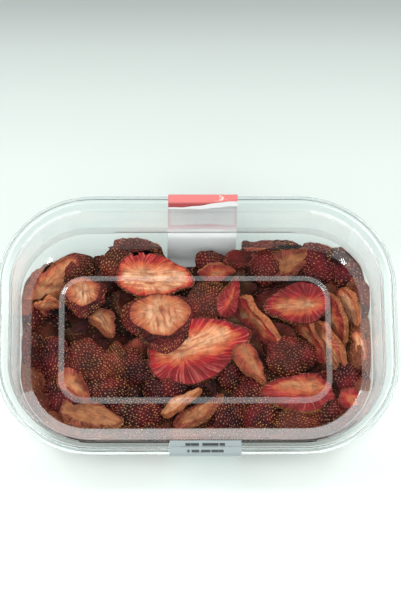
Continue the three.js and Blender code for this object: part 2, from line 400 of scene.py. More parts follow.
def cornerPlace(x, y, halfX, halfY, radius):
    # which corner a point belongs to and its angle there, or None on a straight side
    cx, cy = halfX - radius, halfY - radius
    if abs(x) <= cx + 1e-6 or abs(y) <= cy + 1e-6:
        return None
    return math.copysign(1, x), math.copysign(1, y), math.atan2(abs(y) - cy, abs(x) - cx)


def startSheet(name):
    # the box's outline with rounded corners, its straight sides cut up, in edit mode and selected
    halfX, halfY, radius = box["halfLength"], box["halfWidth"], box["corner"]
    obj = newShape("plane", name, size=2)
    startEditing()
    bpy.ops.transform.resize(value=(halfX, halfY, 1))
    bpy.ops.mesh.select_all(action="SELECT")
    segments = sheetDetail["cornerSegments"]
    bpy.ops.mesh.bevel(offset=radius, segments=segments, affect="VERTICES", clamp_overlap=False)
    bpy.ops.mesh.delete(type="ONLY_FACE")  # the outline alone, so that cutting it leaves no inner edges
    for axis, cuts in ((1, sheetDetail["longCuts"]), (0, sheetDetail["shortCuts"])):
        bpy.ops.mesh.select_all(action="DESELECT")
        bpy.ops.mesh.select_mode(type="EDGE")
        mesh = bmesh.from_edit_mesh(obj.data)
        for edge in mesh.edges:
            run = edge.verts[0].co - edge.verts[1].co
            edge.select_set(abs(run[axis]) < 1e-5 and edge.calc_length() > 5)
        bmesh.update_edit_mesh(obj.data)
        bpy.ops.mesh.subdivide(number_cuts=cuts)
    bpy.ops.mesh.select_all(action="SELECT")
    mesh = bmesh.from_edit_mesh(obj.data)
    stopLayer = mesh.verts.layers.int.new("stop")
    stops = []
    for number, vertex in enumerate(mesh.verts):
        vertex[stopLayer] = number
        x, y = vertex.co.x, vertex.co.y
        corner = cornerPlace(x, y, halfX, halfY, radius)
        if corner:
            stops.append(("corner", *corner))
        elif abs(y) > halfY - 0.01:
            stops.append(("long", math.copysign(1, y), x, halfX - radius))
        else:
            stops.append(("short", math.copysign(1, x), y, halfY - radius))
    bmesh.update_edit_mesh(obj.data)
    return obj, stops


def placeRow(obj, stops, row):
    # moves the selected ring of vertices to where the row says
    mesh = bmesh.from_edit_mesh(obj.data)
    stopLayer = mesh.verts.layers.int["stop"]
    inset, extra = row["inset"], row.get("extra", 0)
    halfX, halfY = box["halfLength"] - inset, box["halfWidth"] - inset - extra
    radius = row.get("radius", max(box["corner"] - inset - extra, sheetDetail["smallestCorner"]))
    shiftX, shiftY = row.get("shift", (0, 0))
    for vertex in mesh.verts:
        if not vertex.select:
            continue
        kind, side, *more = stops[vertex[stopLayer]]
        lift = 0
        if kind == "corner":
            otherSide, angle = more
            x = side * (halfX - radius + radius * math.cos(angle))
            y = otherSide * (halfY - radius + radius * math.sin(angle))
        elif kind == "long":
            along, straight = more
            x = along * (halfX - radius) / straight
            y = side * (halfY + beadReach(row, along, straight, side))
            lift = channelLift(row, along)
        else:
            along, straight = more
            y = along * (halfY - radius) / straight
            x = side * (halfX + beadReach(row, along, straight, None))
        vertex.co = (x + shiftX, y + shiftY, row["z"] + lift)
    bmesh.update_edit_mesh(obj.data)


beads = {
    "wallInFromCorner": 1.0,
    "endRun": 1.8,
    "footRange": (-37.0, 45.0),  # the short bead at the foot of the back wall
    "profile": (0.35, 0.8, 1.0, 0.8, 0.35),
    "wallDepth": 3.3,  # of its first row, below the rim
    "wallStep": 0.45,
    "wallReach": 0.1,
    "footRows": ((16.3, 0.6), (16.7, 1.0), (17.1, 0.6)),  # depth below the rim, share of its reach
    "footReach": 0.35,
}


def beadReach(row, along, straight, side):
    # how far a bead pushes this place outwards
    reach = 0.0
    if "bead" in row:
        fromEnd = straight - beads["wallInFromCorner"] - abs(along)
        reach += row["bead"] * float(smoothStep(0, beads["endRun"], fromEnd))
    if "footBead" in row and side == 1:
        low, high = beads["footRange"]
        reach += row["footBead"] * float(smoothStep(0, beads["endRun"], min(along - low, high - along)))
    return reach


channel = {"centre": 3.2, "half": 16.6, "ramp": 1.92, "lift": 0.9}  # where the strip passes under the tray


def channelLift(row, along):
    away = abs(along - channel["centre"]) - channel["half"]
    return row.get("lift", 0) * (1 - float(smoothStep(0, channel["ramp"], away)))


def loftSheet(name, rows, thickness):
    # extrudes the outline row by row, closes it, softens its folds and gives it its thickness
    obj, stops = startSheet(name)
    placeRow(obj, stops, rows[0])
    for row in rows[1:]:
        bpy.ops.mesh.extrude_region_move(TRANSFORM_OT_translate={"value": (0, 0, 0)})
        placeRow(obj, stops, row)
    bpy.ops.mesh.edge_face_add()
    bpy.ops.mesh.select_all(action="SELECT")
    bpy.ops.mesh.normals_make_consistent(inside=False)
    bpy.ops.object.mode_set(mode="OBJECT")
    # an open sheet's outside is ambiguous, so the middle face settles it
    middle = max(obj.data.polygons, key=lambda face: face.area)
    if middle.normal.z < 0:
        obj.data.flip_normals()
    obj.data.transform(Matrix.Scale(mm, 4))
    applyModifier(obj, "BEVEL", limit_method="ANGLE", angle_limit=math.radians(sheetDetail["foldAngle"]),
                  width=sheetDetail["softEdge"] * mm, segments=sheetDetail["softSegments"],
                  use_clamp_overlap=True)
    applyModifier(obj, "SOLIDIFY", thickness=thickness * mm, offset=-1,
                  use_even_offset=True, use_quality_normals=True)
    smoothByAngle(obj, sheetDetail["smoothAngle"])
    return obj


def markDrawn(obj, low=0, high=0, sideFade=0.0):
    # notes how far each face of the formed sheet was stretched, from its slope and its height in mm
    data = obj.data
    slopes, middles = np.zeros(len(data.polygons) * 3), np.zeros(len(data.polygons) * 3)
    data.polygons.foreach_get("normal", slopes)
    data.polygons.foreach_get("center", middles)
    slopes, heights = slopes.reshape(-1, 3), middles.reshape(-1, 3)[:, 2] / mm
    steep = smoothStep(*sheetDetail["steepness"], 1 - np.abs(slopes[:, 2]))
    facing = 1 - sideFade * np.abs(slopes[:, 0])
    drawn = steep * ((heights > low) & (heights <= high)) * facing
    layer = data.attributes.new("drawn", "FLOAT", "FACE")
    layer.data.foreach_set("value", drawn.astype(np.float32))


plug = {  # the lid's sunken middle narrows steadily from the top of its wall to the foot, in mm
    "depth": (2.3, 15.2),  # below the rim
    "inset": (6.9, 10.0),
    "radius": (37.1, 32.5),
}


def plugRow(depth, **more):
    top, foot = plug["depth"]
    share = (depth - top) / (foot - top)
    return {
        "inset": between(plug["inset"], share),
        "z": box["height"] - depth,
        "radius": between(plug["radius"], share),
        "extra": box["narrower"] * max(0, min(1, share)),
        **more,
    }


def sharedRows():
    # the rim's inner edge and the wall's upper part, which the lid and the tray have in common
    top = box["height"]
    rows = [{"inset": 2.6, "z": top}, {"inset": 3.1, "z": top - 1.2}, {"inset": 6.3, "z": top - 1.3}]
    rows += [plugRow(2.3), plugRow(3.1)]
    for number, share in enumerate(beads["profile"]):
        rows.append(plugRow(beads["wallDepth"] + beads["wallStep"] * number, bead=beads["wallReach"] * share))
    return rows + [plugRow(5.4), plugRow(9.0)]


def offsetRows(rows, distance):
    # moves a section square to itself, down and out
    moved = []
    for i, row in enumerate(rows):
        sides = []
        for a, b in ((rows[max(i - 1, 0)], row), (row, rows[min(i + 1, len(rows) - 1)])):
            run = Vector((b["z"] - a["z"], a["inset"] - b["inset"]))
            if run.length > 1e-6:
                sides.append(run.normalized())
        mitre = (sides[0] + sides[-1]).normalized()
        reach = distance / mitre.dot(sides[0])
        shifted = {**row, "inset": row["inset"] + mitre.x * reach, "z": row["z"] + mitre.y * reach}
        if "radius" in row:
            shifted["radius"] = row["radius"] - mitre.x * reach
        moved.append(shifted)
    return moved


lidPlastics = {  # tint and clearness; the sheet is drawn thinner and hazier on its steps and slopes
    "lidPlastic": ((0.955, 0.982, 0.98), 1.0),
    "hazyLidPlastic": ((0.97, 0.99, 0.988), 0.96),
    "milkyLidPlastic": ((0.97, 0.99, 0.988), 0.86),
    "cloudyLidPlastic": ((0.97, 0.99, 0.988), 0.8),
}
lidSizes = {
    "panelDepth": 20.5,  # below the rim
    "plateauRise": 0.9,
    "plateauShift": (-0.5, -0.85),  # the plateau sits a little off the middle
    "drawnHeights": (32.75, 36.0),
    "drawnFade": 0.65,
}
lidHaze = {  # where the sheet turns hazy: heights and insets in mm, turns as parts of a face's normal
    "stepInset": 25,
    "stepTurn": 0.995,
    "slope": (30.8, 37),
    "slopeTurn": 0.25,
    "hazyTurn": 0.3,
    "milkyTurn": 0.6,
    "front": {"behind": -20, "top": 36, "steep": 0.2, "turn": 0.3},
}


def hazeOf(face):  # the number of the lid's plastic that a face has
    x, y, z = face.center / mm
    normal, front = face.normal, lidHaze["front"]
    low, high = lidHaze["slope"]
    onStep = insetAt(x, y) > lidHaze["stepInset"] and abs(normal.z) < lidHaze["stepTurn"]
    onSlope = low < z <= high and abs(normal.x) > lidHaze["slopeTurn"]
    aside = abs(normal.x) if z > high else 0
    level = math.hypot(normal.x, normal.y)
    inFront = y < front["behind"] and low < z < front["top"] and level > front["steep"]
    if inFront and normal.y / level > front["turn"]:
        return 3
    return 2 if aside > lidHaze["milkyTurn"] else int(onStep or onSlope or aside > lidHaze["hazyTurn"])


def makeLid():
    top = box["height"]
    panel = top - lidSizes["panelDepth"]
    onPlateau = {"extra": 2.65, "shift": lidSizes["plateauShift"]}
    rows = [
        {"inset": 0.0, "z": top - 0.9},
        {"inset": 0.25, "z": top - 0.2},
        {"inset": 0.9, "z": top},
        *sharedRows(),
        plugRow(12.6),
        plugRow(15.8),
        *(plugRow(depth, footBead=beads["footReach"] * share) for depth, share in beads["footRows"]),
        plugRow(17.5),
        {"inset": 15.3, "z": panel, "extra": 2.9, "radius": 26.5},
        {"inset": 21.0, "z": panel, "extra": 2.9, "radius": 19.5},
        {"inset": 28.4, "z": panel, "radius": 12, **onPlateau},
        {"inset": 30.8, "z": panel + lidSizes["plateauRise"], "radius": 9.6, **onPlateau},
    ]
    lid = loftSheet("clearLid", rows, box["lidSheet"])
    markDrawn(lid, *lidSizes["drawnHeights"], lidSizes["drawnFade"])
    finishPiece(lid, "lid", "clear_plastic", allPlastics(lidPlastics))
    for face in lid.data.polygons:
        face.material_index = hazeOf(face)


trayPlastics = {
    "trayPlastic": ((0.965, 0.99, 0.986), 1.0),
    "hazyTrayPlastic": ((0.97, 0.99, 0.988), 0.75),
}
traySizes = {
    "skirt": 46.8,  # the height of its lip's lower edge
    "footInset": 12.6,
    "footRadius": 9.0,
    "footSteps": 8,
    "standWidth": 5,  # from the foot's curve in to the step up
    "standLift": 2.0,  # how high the middle of the floor is
    "bend": (4.6, 1.9),  # below the rim, where the ledge bends into the wall
    "bendTurn": (0.97, 0.15),  # how far up and how far aside the hazy faces there look
}


def makeTray():
    top, foot = box["height"], traySizes["footRadius"]
    shared = [{"inset": 0.0, "z": top}, *sharedRows(), plugRow(plug["depth"][1])]
    mated = offsetRows(shared, box["lidSheet"] + box["gap"])
    edge = mated[0]["z"]
    rows = [{"inset": 0.2, "z": traySizes["skirt"]}, {"inset": 0.2, "z": edge - 0.6},
            {"inset": 0.5, "z": edge - 0.1}, {"inset": 1.1, "z": edge}, *mated[1:]]
    inner, footMiddle = foot - box["traySheet"], traySizes["footInset"] + foot
    narrow = {"extra": box["narrower"]}
    for i in range(traySizes["footSteps"] + 1):
        angle = i / traySizes["footSteps"] * math.pi / 2
        z = foot - inner * math.sin(angle)
        lift = channel["lift"] * float(1 - smoothStep(2.0, 5.0, z))
        rows.append({"inset": footMiddle - inner * math.cos(angle), "z": z, "lift": lift, **narrow})
    stand, floor = footMiddle + traySizes["standWidth"], {"z": traySizes["standLift"], **narrow}
    rows.append({"inset": stand, "z": box["traySheet"], "lift": channel["lift"], **narrow})
    rows += [{"inset": stand + 1.6, **floor}, {"inset": stand + 8, **floor}]
    tray = loftSheet("clearTray", rows, box["traySheet"])
    markDrawn(tray)
    finishPiece(tray, "tray", "clear_plastic", allPlastics(trayPlastics))
    (lower, upper), (upwards, aside) = traySizes["bend"], traySizes["bendTurn"]
    for face in tray.data.polygons:  # the bend is hazy at the sides and the corners
        onBend = top - lower < face.center.z / mm < top - upper and abs(face.normal.z) < upwards
        face.material_index = int(onBend and abs(face.normal.x) > aside)


# the dried slices: a few ways of cutting a berry, each modelled once and then copied
berryShape = {
    "shoulder": 1.05,  # width of the stem half
    "tip": 0.6,  # width towards the tip
    "cuts": {  # the heights of the two cuts, in half heights of the berry
        "middle": (-0.13, 0.13),
        "ring": (0.2, 0.5),
        "wideRing": (0.3, 0.64),
        "cap": (0.5, None),
    },
    "thickness": {"middle": 2.6, "ring": 3.2, "wideRing": 4.2, "cap": 5.5},  # mm
    "dish": 0.035,
    "cutMiddle": -0.06,
    "fineDetail": {
        "around": 54,
        "along": 32,
        "onCut": (0.97, 0.92, 0.84, 0.75, 0.65, 0.55, 0.44, 0.33, 0.21, 0.1),  # its rings, as shares
    },
    "plainDetail": {"around": 36, "along": 22, "onCut": (0.95, 0.84, 0.68, 0.5, 0.32, 0.14)},
}


def berryRadius(x):
    share = smoothStep(-0.6, 1.0, x)
    width = berryShape["shoulder"] * (1 - share) + berryShape["tip"] * share
    return np.sqrt(np.maximum(1 - x * x, 0)) * width


def ringsOnCut(obj, height, shares, dish):
    # concentric rings on a cut face, so that it can wrinkle, and a note of how far in each one lies
    bpy.ops.mesh.select_mode(type="FACE")
    bpy.ops.mesh.select_all(action="DESELECT")
    mesh = bmesh.from_edit_mesh(obj.data)
    for face in mesh.faces:
        face.select_set(all(abs(vertex.co.z - height) < 1e-5 for vertex in face.verts))
    bmesh.update_edit_mesh(obj.data)
    before = 1.0
    for share in shares:
        bpy.ops.mesh.extrude_region_move(TRANSFORM_OT_translate={"value": (0, 0, 0)})
        shrink, middle = share / before, (berryShape["cutMiddle"], 0, height)
        bpy.ops.transform.resize(value=(shrink, shrink, 1), center_override=middle)
        mesh = bmesh.from_edit_mesh(obj.data)
        inward = mesh.verts.layers.float["inward"]
        for vertex in mesh.verts:
            if vertex.select:
                vertex[inward] = 1 - share
                vertex.co.z = height + dish * (1 - share ** 2)
        bmesh.update_edit_mesh(obj.data)
        before = share
    bpy.ops.mesh.poke()
    mesh = bmesh.from_edit_mesh(obj.data)
    inward = mesh.verts.layers.float["inward"]
    for vertex in mesh.verts:
        if vertex.select and len(vertex.link_faces) > 8:  # the new one in the middle
            vertex[inward] = 1
    bmesh.update_edit_mesh(obj.data)


def takeArrays(obj):  # a template's places and triangles, and the object goes
    bpy.ops.object.mode_set(mode="OBJECT")
    data = obj.data
    arrays = {
        "places": np.array([vertex.co for vertex in data.vertices]),
        "corners": np.array([tuple(face.vertices) for face in data.polygons]),
    }
    if "inward" in data.attributes:
        arrays["inward"] = np.array([item.value for item in data.attributes["inward"].data])
        arrays["flesh"] = arrays["inward"][arrays["corners"]].max(axis=1) > 0
    bpy.data.objects.remove(obj)
    return arrays


def modelSlice(kind, detail):
    low, high = berryShape["cuts"][kind]
    obj = newShape("uv_sphere", segments=detail["around"], ring_count=detail["along"], radius=1)
    startEditing()
    bpy.ops.transform.rotate(value=math.radians(90), orient_axis="Y", center_override=(0, 0, 0))
    mesh = bmesh.from_edit_mesh(obj.data)
    mesh.verts.layers.float.new("inward")
    for vertex in mesh.verts:  # from a ball to a berry, its tip along X
        x, y, z = vertex.co
        across = math.hypot(y, z)
        grow = float(berryRadius(x)) / across if across > 1e-6 else 0
        vertex.co = (x, y * grow, z * grow)
    bmesh.update_edit_mesh(obj.data)
    for height, fromBelow in ((low, True), (high, False)):
        if height is None:
            continue
        bpy.ops.mesh.select_all(action="SELECT")
        bpy.ops.mesh.bisect(plane_co=(0, 0, height), plane_no=(0, 0, 1), use_fill=True,
                            clear_inner=fromBelow, clear_outer=not fromBelow)
        ringsOnCut(obj, height, detail["onCut"], berryShape["dish"] * (1 if fromBelow else -1))
    bpy.ops.mesh.select_all(action="SELECT")
    bpy.ops.mesh.quads_convert_to_tris()
    arrays = takeArrays(obj)
    top = high if high is not None else arrays["places"][:, 2].max()
    return {"kind": kind, "bottom": low, "top": top, **arrays}


achene = {
    "size": (0.4, 0.26, 0.2),  # mm, half the length, width and height
    "pointed": 0.35,
    "proud": 0.08,  # mm
    "strays": ((0.035, 12.9), (0.02, 7.7)),  # round and along: how far off the spiral, and how quickly
}


def modelAchene():
    obj = newShape("ico_sphere", subdivisions=1, radius=1)
    startEditing()
    bpy.ops.transform.resize(value=achene["size"])
    mesh = bmesh.from_edit_mesh(obj.data)
    for vertex in mesh.verts:  # a pointed end, as a pip has
        narrow = 1 - achene["pointed"] * max(vertex.co.x, 0) / achene["size"][0]
        vertex.co.y *= narrow
        vertex.co.z *= narrow
    bmesh.update_edit_mesh(obj.data)
    return takeArrays(obj)


def achenePlaces(template, scale, pip, spacing):
    # pips in the spiral that they grow in, on the skin that this cut leaves, at their real size
    a, b, c = scale
    count = int(4 * math.pi * (a * b + a * c + b * c) / 3 / spacing ** 2)
    number = np.arange(count)
    strayRound, strayAlong = (far * np.sin(number * pace) for far, pace in achene["strays"])
    turn = number * math.pi * (3 - math.sqrt(5)) + strayRound
    x = np.clip(1 - 2 * (number + 0.5) / count + strayAlong, -0.999, 0.999)
    reach = berryRadius(x)
    spots = np.stack([x, reach * np.cos(turn), reach * np.sin(turn)], axis=1)
    highest = template["top"] - 0.02 + (template["kind"] == "cap")
    spots = spots[(spots[:, 2] > template["bottom"] + 0.03) & (spots[:, 2] < highest)]
    if not len(spots):
        return np.zeros((0, 3))
    up = spots / np.array(scale)
    up /= np.linalg.norm(up, axis=1)[:, None]
    along = np.array([1.0, 0, 0]) - up * up[:, :1]
    along /= np.maximum(np.linalg.norm(along, axis=1), 1e-6)[:, None]
    points = (spots * np.array(scale))[:, None, :]
    for axis, way, sunk in ((0, along, 0), (1, np.cross(up, along), 0), (2, up, achene["proud"])):
        points = points + (pip["places"][None, :, axis, None] + sunk) * way[:, None, :]
    return points.reshape(-1, 3)


def ripple(points, rng, size, waves=5):
    total = np.zeros(len(points))
    for _ in range(waves):
        direction = rng.normal(size=3) * (1, 1, 0.35)
        direction /= np.linalg.norm(direction)
        pace, start = 2 * math.pi / size * rng.uniform(0.7, 1.4), rng.uniform(0, 6.28)
        total += np.sin(points @ direction * pace + start)
    return total / math.sqrt(waves)


def bend(along, up, curvature):
    if abs(curvature) < 1e-4:
        return along, up
    radius = 1 / curvature
    return (radius - up) * np.sin(along / radius), radius - (radius - up) * np.cos(along / radius)


crumple = {
    "outline": 0.06,
    "rimWave": 0.9,  # mm, and so are the next four
    "folds": 0.5,
    "foldSize": 12,
    "creases": 0.34,
    "creaseSize": 7.5,
    "sideways": (0.35, 9),  # how far, and the waves' size
}


def crumpleSlice(points, halves, bends, rng, strength=1.0):
    # dries a flat slice: its outline shrinks unevenly, its rim waves, it cups and it wrinkles
    x, y, z = points.T.copy()
    angle = np.arctan2(y / halves[1], x / halves[0])
    reach = np.hypot(y / halves[1], x / halves[0])
    wobble = 1 + crumple["outline"] * sum(
        np.sin(n * angle + rng.uniform(0, 6.28)) * rng.uniform(0.3, 1) / n ** 0.5 for n in (2, 3, 5, 8))
    x, y = x * wobble, y * wobble
    for n in (2, 3, 5):
        height = strength * crumple["rimWave"] * rng.uniform(0.3, 1) / n ** 0.5
        z = z + height * reach ** 2.5 * np.sin(n * angle + rng.uniform(0, 6.28))
    y, z = bend(y, z, bends[1])
    x, z = bend(x, z, bends[0])
    points = np.stack([x, y, z], axis=1)
    folds = ripple(points, rng, crumple["foldSize"])
    creases = 1 - 2 * np.abs(np.tanh(1.6 * ripple(points, rng, crumple["creaseSize"])))
    lift = strength * (crumple["folds"] * folds + crumple["creases"] * creases)
    far, size = crumple["sideways"]
    aside = [far * ripple(points, rng, size) for _ in range(2)]
    points = points + np.stack([*aside, lift], axis=1)
    return points - points.mean(axis=0)


def turnSlice(points, yaw, lean, leanTo):
    azimuth = math.radians(leanTo)
    tip = Matrix.Rotation(math.radians(lean), 3, Vector((-math.sin(azimuth), math.cos(azimuth), 0)))
    turned = tip @ Matrix.Rotation(math.radians(yaw), 3, "Z")
    return points @ np.array(turned).T


# what the slices must stay inside, in millimetres
inside = {
    "panelUnderside": 29.0,
    "panelInset": 14.0,
    "slopeRise": 0.9,
    "slopeRun": 5.3,
    "wallFoot": 9.0,  # height, which is also the radius of the foot's curve
    "wallTop": 34.8,
    "wallInsets": (12.6, 9.2),  # at the foot and at the top
    "floors": ((28.2, 2.0), (26, 2.0), (0, 0.6)),  # from this inset inwards, the floor's height
    "gap": 0.35,
}


def insetFrom(x, y):
    # how far inside the outline a point lies, and which way is out
    halfX, halfY = box["halfLength"] - box["corner"], box["halfWidth"] - box["narrower"] - box["corner"]
    qx, qy = np.abs(x) - halfX, np.abs(y) - halfY
    outX, outY = np.maximum(qx, 0), np.maximum(qy, 0)
    outside = np.hypot(outX, outY)
    flat = np.minimum(np.maximum(qx, qy), 0)
    safe = np.maximum(outside, 1e-9)
    wayX = np.where(outside > 0, outX / safe, qx > qy) * np.sign(x)
    wayY = np.where(outside > 0, outY / safe, qx <= qy) * np.sign(y)
    return box["corner"] - outside - flat, wayX, wayY


def insetAt(x, y):
    return insetFrom(np.array([x]), np.array([y]))[0][0]


def keepInside(points, spare=0.0):
    x, y, z = points.T.copy()
    gap = inside["gap"] + spare
    inset, wayX, wayY = insetFrom(x, y)
    rise = np.clip(inside["panelInset"] - inset, 0, inside["slopeRun"]) * inside["slopeRise"]
    z = np.minimum(z, inside["panelUnderside"] - gap + rise)
    lift = np.where(np.abs(x - channel["centre"]) < channel["half"] + 2, channel["lift"], 0)
    (middle, middleFloor), (stand, standFloor), (_, outerFloor) = inside["floors"]
    floor = np.where(inset > middle, middleFloor, np.where(inset > stand, standFloor, outerFloor) + lift)
    z = np.maximum(z, floor + gap)
    foot, inner = inside["wallFoot"], inside["wallFoot"] - box["traySheet"]
    share = np.clip((z - foot) / (inside["wallTop"] - foot), 0, 1)
    under = np.clip(foot - z, 0, inner)
    curve = np.where(under > 0, inner - np.sqrt(np.maximum(inner ** 2 - under ** 2, 0)), 0)
    push = np.maximum(between(inside["wallInsets"], share) + curve + gap - inset, 0)
    return np.stack([x - wayX * push, y - wayY * push, z], axis=1)


def meshFromArrays(name, places, corners):
    data = bpy.data.meshes.new(name)
    data.from_pydata(np.concatenate(places), [], np.concatenate(corners))
    data.polygons.foreach_set("use_smooth", np.ones(len(data.polygons), dtype=bool))
    data.update()
    obj = bpy.data.objects.new(name, data)
    scene.collection.objects.link(obj)
    return obj


longCore = {"narrow": 1.15, "least": 0.12, "ends": 1.6, "endCurve": 0.4, "rim": 3.2}


def coreBand(template, share, shift):
    # how far in from the rim each point counts as, when the pale core runs the length of the slice
    x, y, least = template["places"][:, 0], template["places"][:, 1], longCore["least"]
    aside = np.abs(y / np.abs(y).max() - shift) * longCore["narrow"]
    ends = np.clip(longCore["ends"] * (1 - np.abs(x)), 0, 1) ** longCore["endCurve"]
    core = np.maximum(np.clip(1 - aside, least, 1) * ends, least)
    inward = template["inward"]
    return np.minimum((1 - share) * inward + share * core, inward * longCore["rim"])


def layOutSlices(name, slices, templates, pip, spacing, rng, materials):
    # copies, dries and places each slice, and joins them into one mesh and their pips into another
    noted = {key: [] for key in ("inward", "fibre", "flat", "look", "tone", "spread")}
    places, corners, flesh, pipPlaces, pipCorners = [], [], [], [], []
    offset = pipOffset = 0
    for number, cut in enumerate(slices):
        template = templates[cut["kind"]]
        outline = template["places"]
        thick = berryShape["thickness"][cut["kind"]] * cut.get("thick", 1)
        halves = (cut["size"][0] / 2, cut["size"][1] / 2)
        scale = (halves[0] / np.abs(outline[:, 0]).max(), halves[1] / np.abs(outline[:, 1]).max(),
                 thick / (template["top"] - template["bottom"]))
        both = np.concatenate([outline * np.array(scale), achenePlaces(template, scale, pip, spacing)])
        both = crumpleSlice(both, halves, cut["bends"], rng, cut.get("strength", 1))
        if cut.get("faceDown"):
            both = both * np.array([1, -1, -1])
        both = turnSlice(both, cut["yaw"], cut["lean"], cut["leanTo"]) + np.array(cut["place"])
        body, spots = keepInside(both[:len(outline)], 0.25), keepInside(both[len(outline):]) * mm
        angle = np.arctan2(outline[:, 1], outline[:, 0] + 0.35)
        own = number * 7.31  # so that no two slices have the same streaks
        places.append(body * mm)
        corners.append(template["corners"] + offset)
        flesh.append(template["flesh"])
        noted["inward"].append(coreBand(template, *cut.get("band", (0.3, 0))))
        fibre = (np.cos(angle), np.sin(angle), template["inward"] * 0.25 + own)
        noted["fibre"].append(np.stack(fibre, axis=1))
        noted["flat"].append(outline * (1, 1, 0) + (0, 0, own))
        noted["look"].append(np.tile(cut["look"], (len(body), 1)))
        inset = insetFrom(body[:, 0], body[:, 1])[0]
        # painted shade: the slice's own tone is darkened where it lies deep in the heap, away from the wall
        paintedShade = smoothStep(*heap["shadeTop"], body[:, 2]) * smoothStep(*heap["shadeEdge"], inset)
        noted["tone"].append(cut.get("tone", 1) * rng.uniform(0.85, 1.12) * (1 - heap["shadeDepth"] * paintedShade))
        noted["spread"].append(np.full(len(body), cut.get("spread", 0)))
        offset += len(body)
        if len(spots):
            starts = pipOffset + np.arange(len(spots) // len(pip["places"])) * len(pip["places"])
            pipPlaces.append(spots)
            pipCorners.append((pip["corners"][None] + starts[:, None, None]).reshape(-1, 3))
            pipOffset += len(spots)
    skin, fleshLook, pipLook = materials
    obj = meshFromArrays(name + "Slices", places, corners)
    for key, values in noted.items():
        values = np.concatenate(values)
        kind, field = ("FLOAT", "value") if values.ndim == 1 else ("FLOAT_VECTOR", "vector")
        obj.data.attributes.new(key, kind, "POINT").data.foreach_set(field, values.astype(np.float32).ravel())
    finishPiece(obj, *heap["standsFor"], (skin, fleshLook))
    obj.data.polygons.foreach_set("material_index", np.concatenate(flesh).astype(np.int32))
    smoothByAngle(obj, 55)
    pips = meshFromArrays(name + "Pips", pipPlaces, pipCorners)
    finishPiece(pips, *heap["standsFor"], (pipLook,))
    count = len(pips.data.polygons) // len(pip["corners"])
    print(obj.name, len(slices), "slices,", len(obj.data.polygons), "triangles,", count, "pips")


def makeDriedFinish():
    # deepens the colour by the slice's own tone and by the painted shade deep in the heap, and varies the
    # gloss with the grain
    inputs = {"Colour": "Color", "ToneAndShade": "Float", "Grain": "Float", "Smoothest": "Float", "Roughest": "Float"}
    group, given, result = newGroup("driedFinish", inputs, {"Colour": "Color", "Roughness": "Float"})
    roughness = rangeNode(group, given["Grain"], 0.3, 0.7, given["Smoothest"], given["Roughest"])
    setInput(group, result["Roughness"], roughness)
    setInput(group, result["Colour"], mixColours(group, 1.0, given["Colour"], given["ToneAndShade"], "MULTIPLY"))
    return group


driedFinish = makeDriedFinish()


def coverDried(tree, colour, grain, smoothest, roughest, gloss, *heights):
    # the tone attribute holds each slice's own tone together with the painted shade deep in the heap
    tone = attributeNode(tree, "tone")["Fac"]
    inputs = {"Colour": colour, "ToneAndShade": tone, "Grain": grain, "Smoothest": smoothest, "Roughest": roughest}
    finish = placeGroup(tree, driedFinish, inputs)
    cover(tree, {"Base Color": finish["Colour"], "Roughness": finish["Roughness"],
                 "Specular IOR Level": gloss, "Normal": bumpChain(tree, *heights)})


fleshColours = {
    "rim": (58, 18, 22),
    "crimson": (166, 36, 42),
    "plum": (118, 36, 44),
    "brown": (148, 80, 58),
    "hairs": (208, 110, 98),
    "orange": (190, 94, 64),
    "tan": (188, 122, 80),
    "cream": (216, 156, 116),
    "strand": (236, 194, 160),
    "darkStrand": (164, 80, 62),
    "burnt": (80, 28, 24),
}


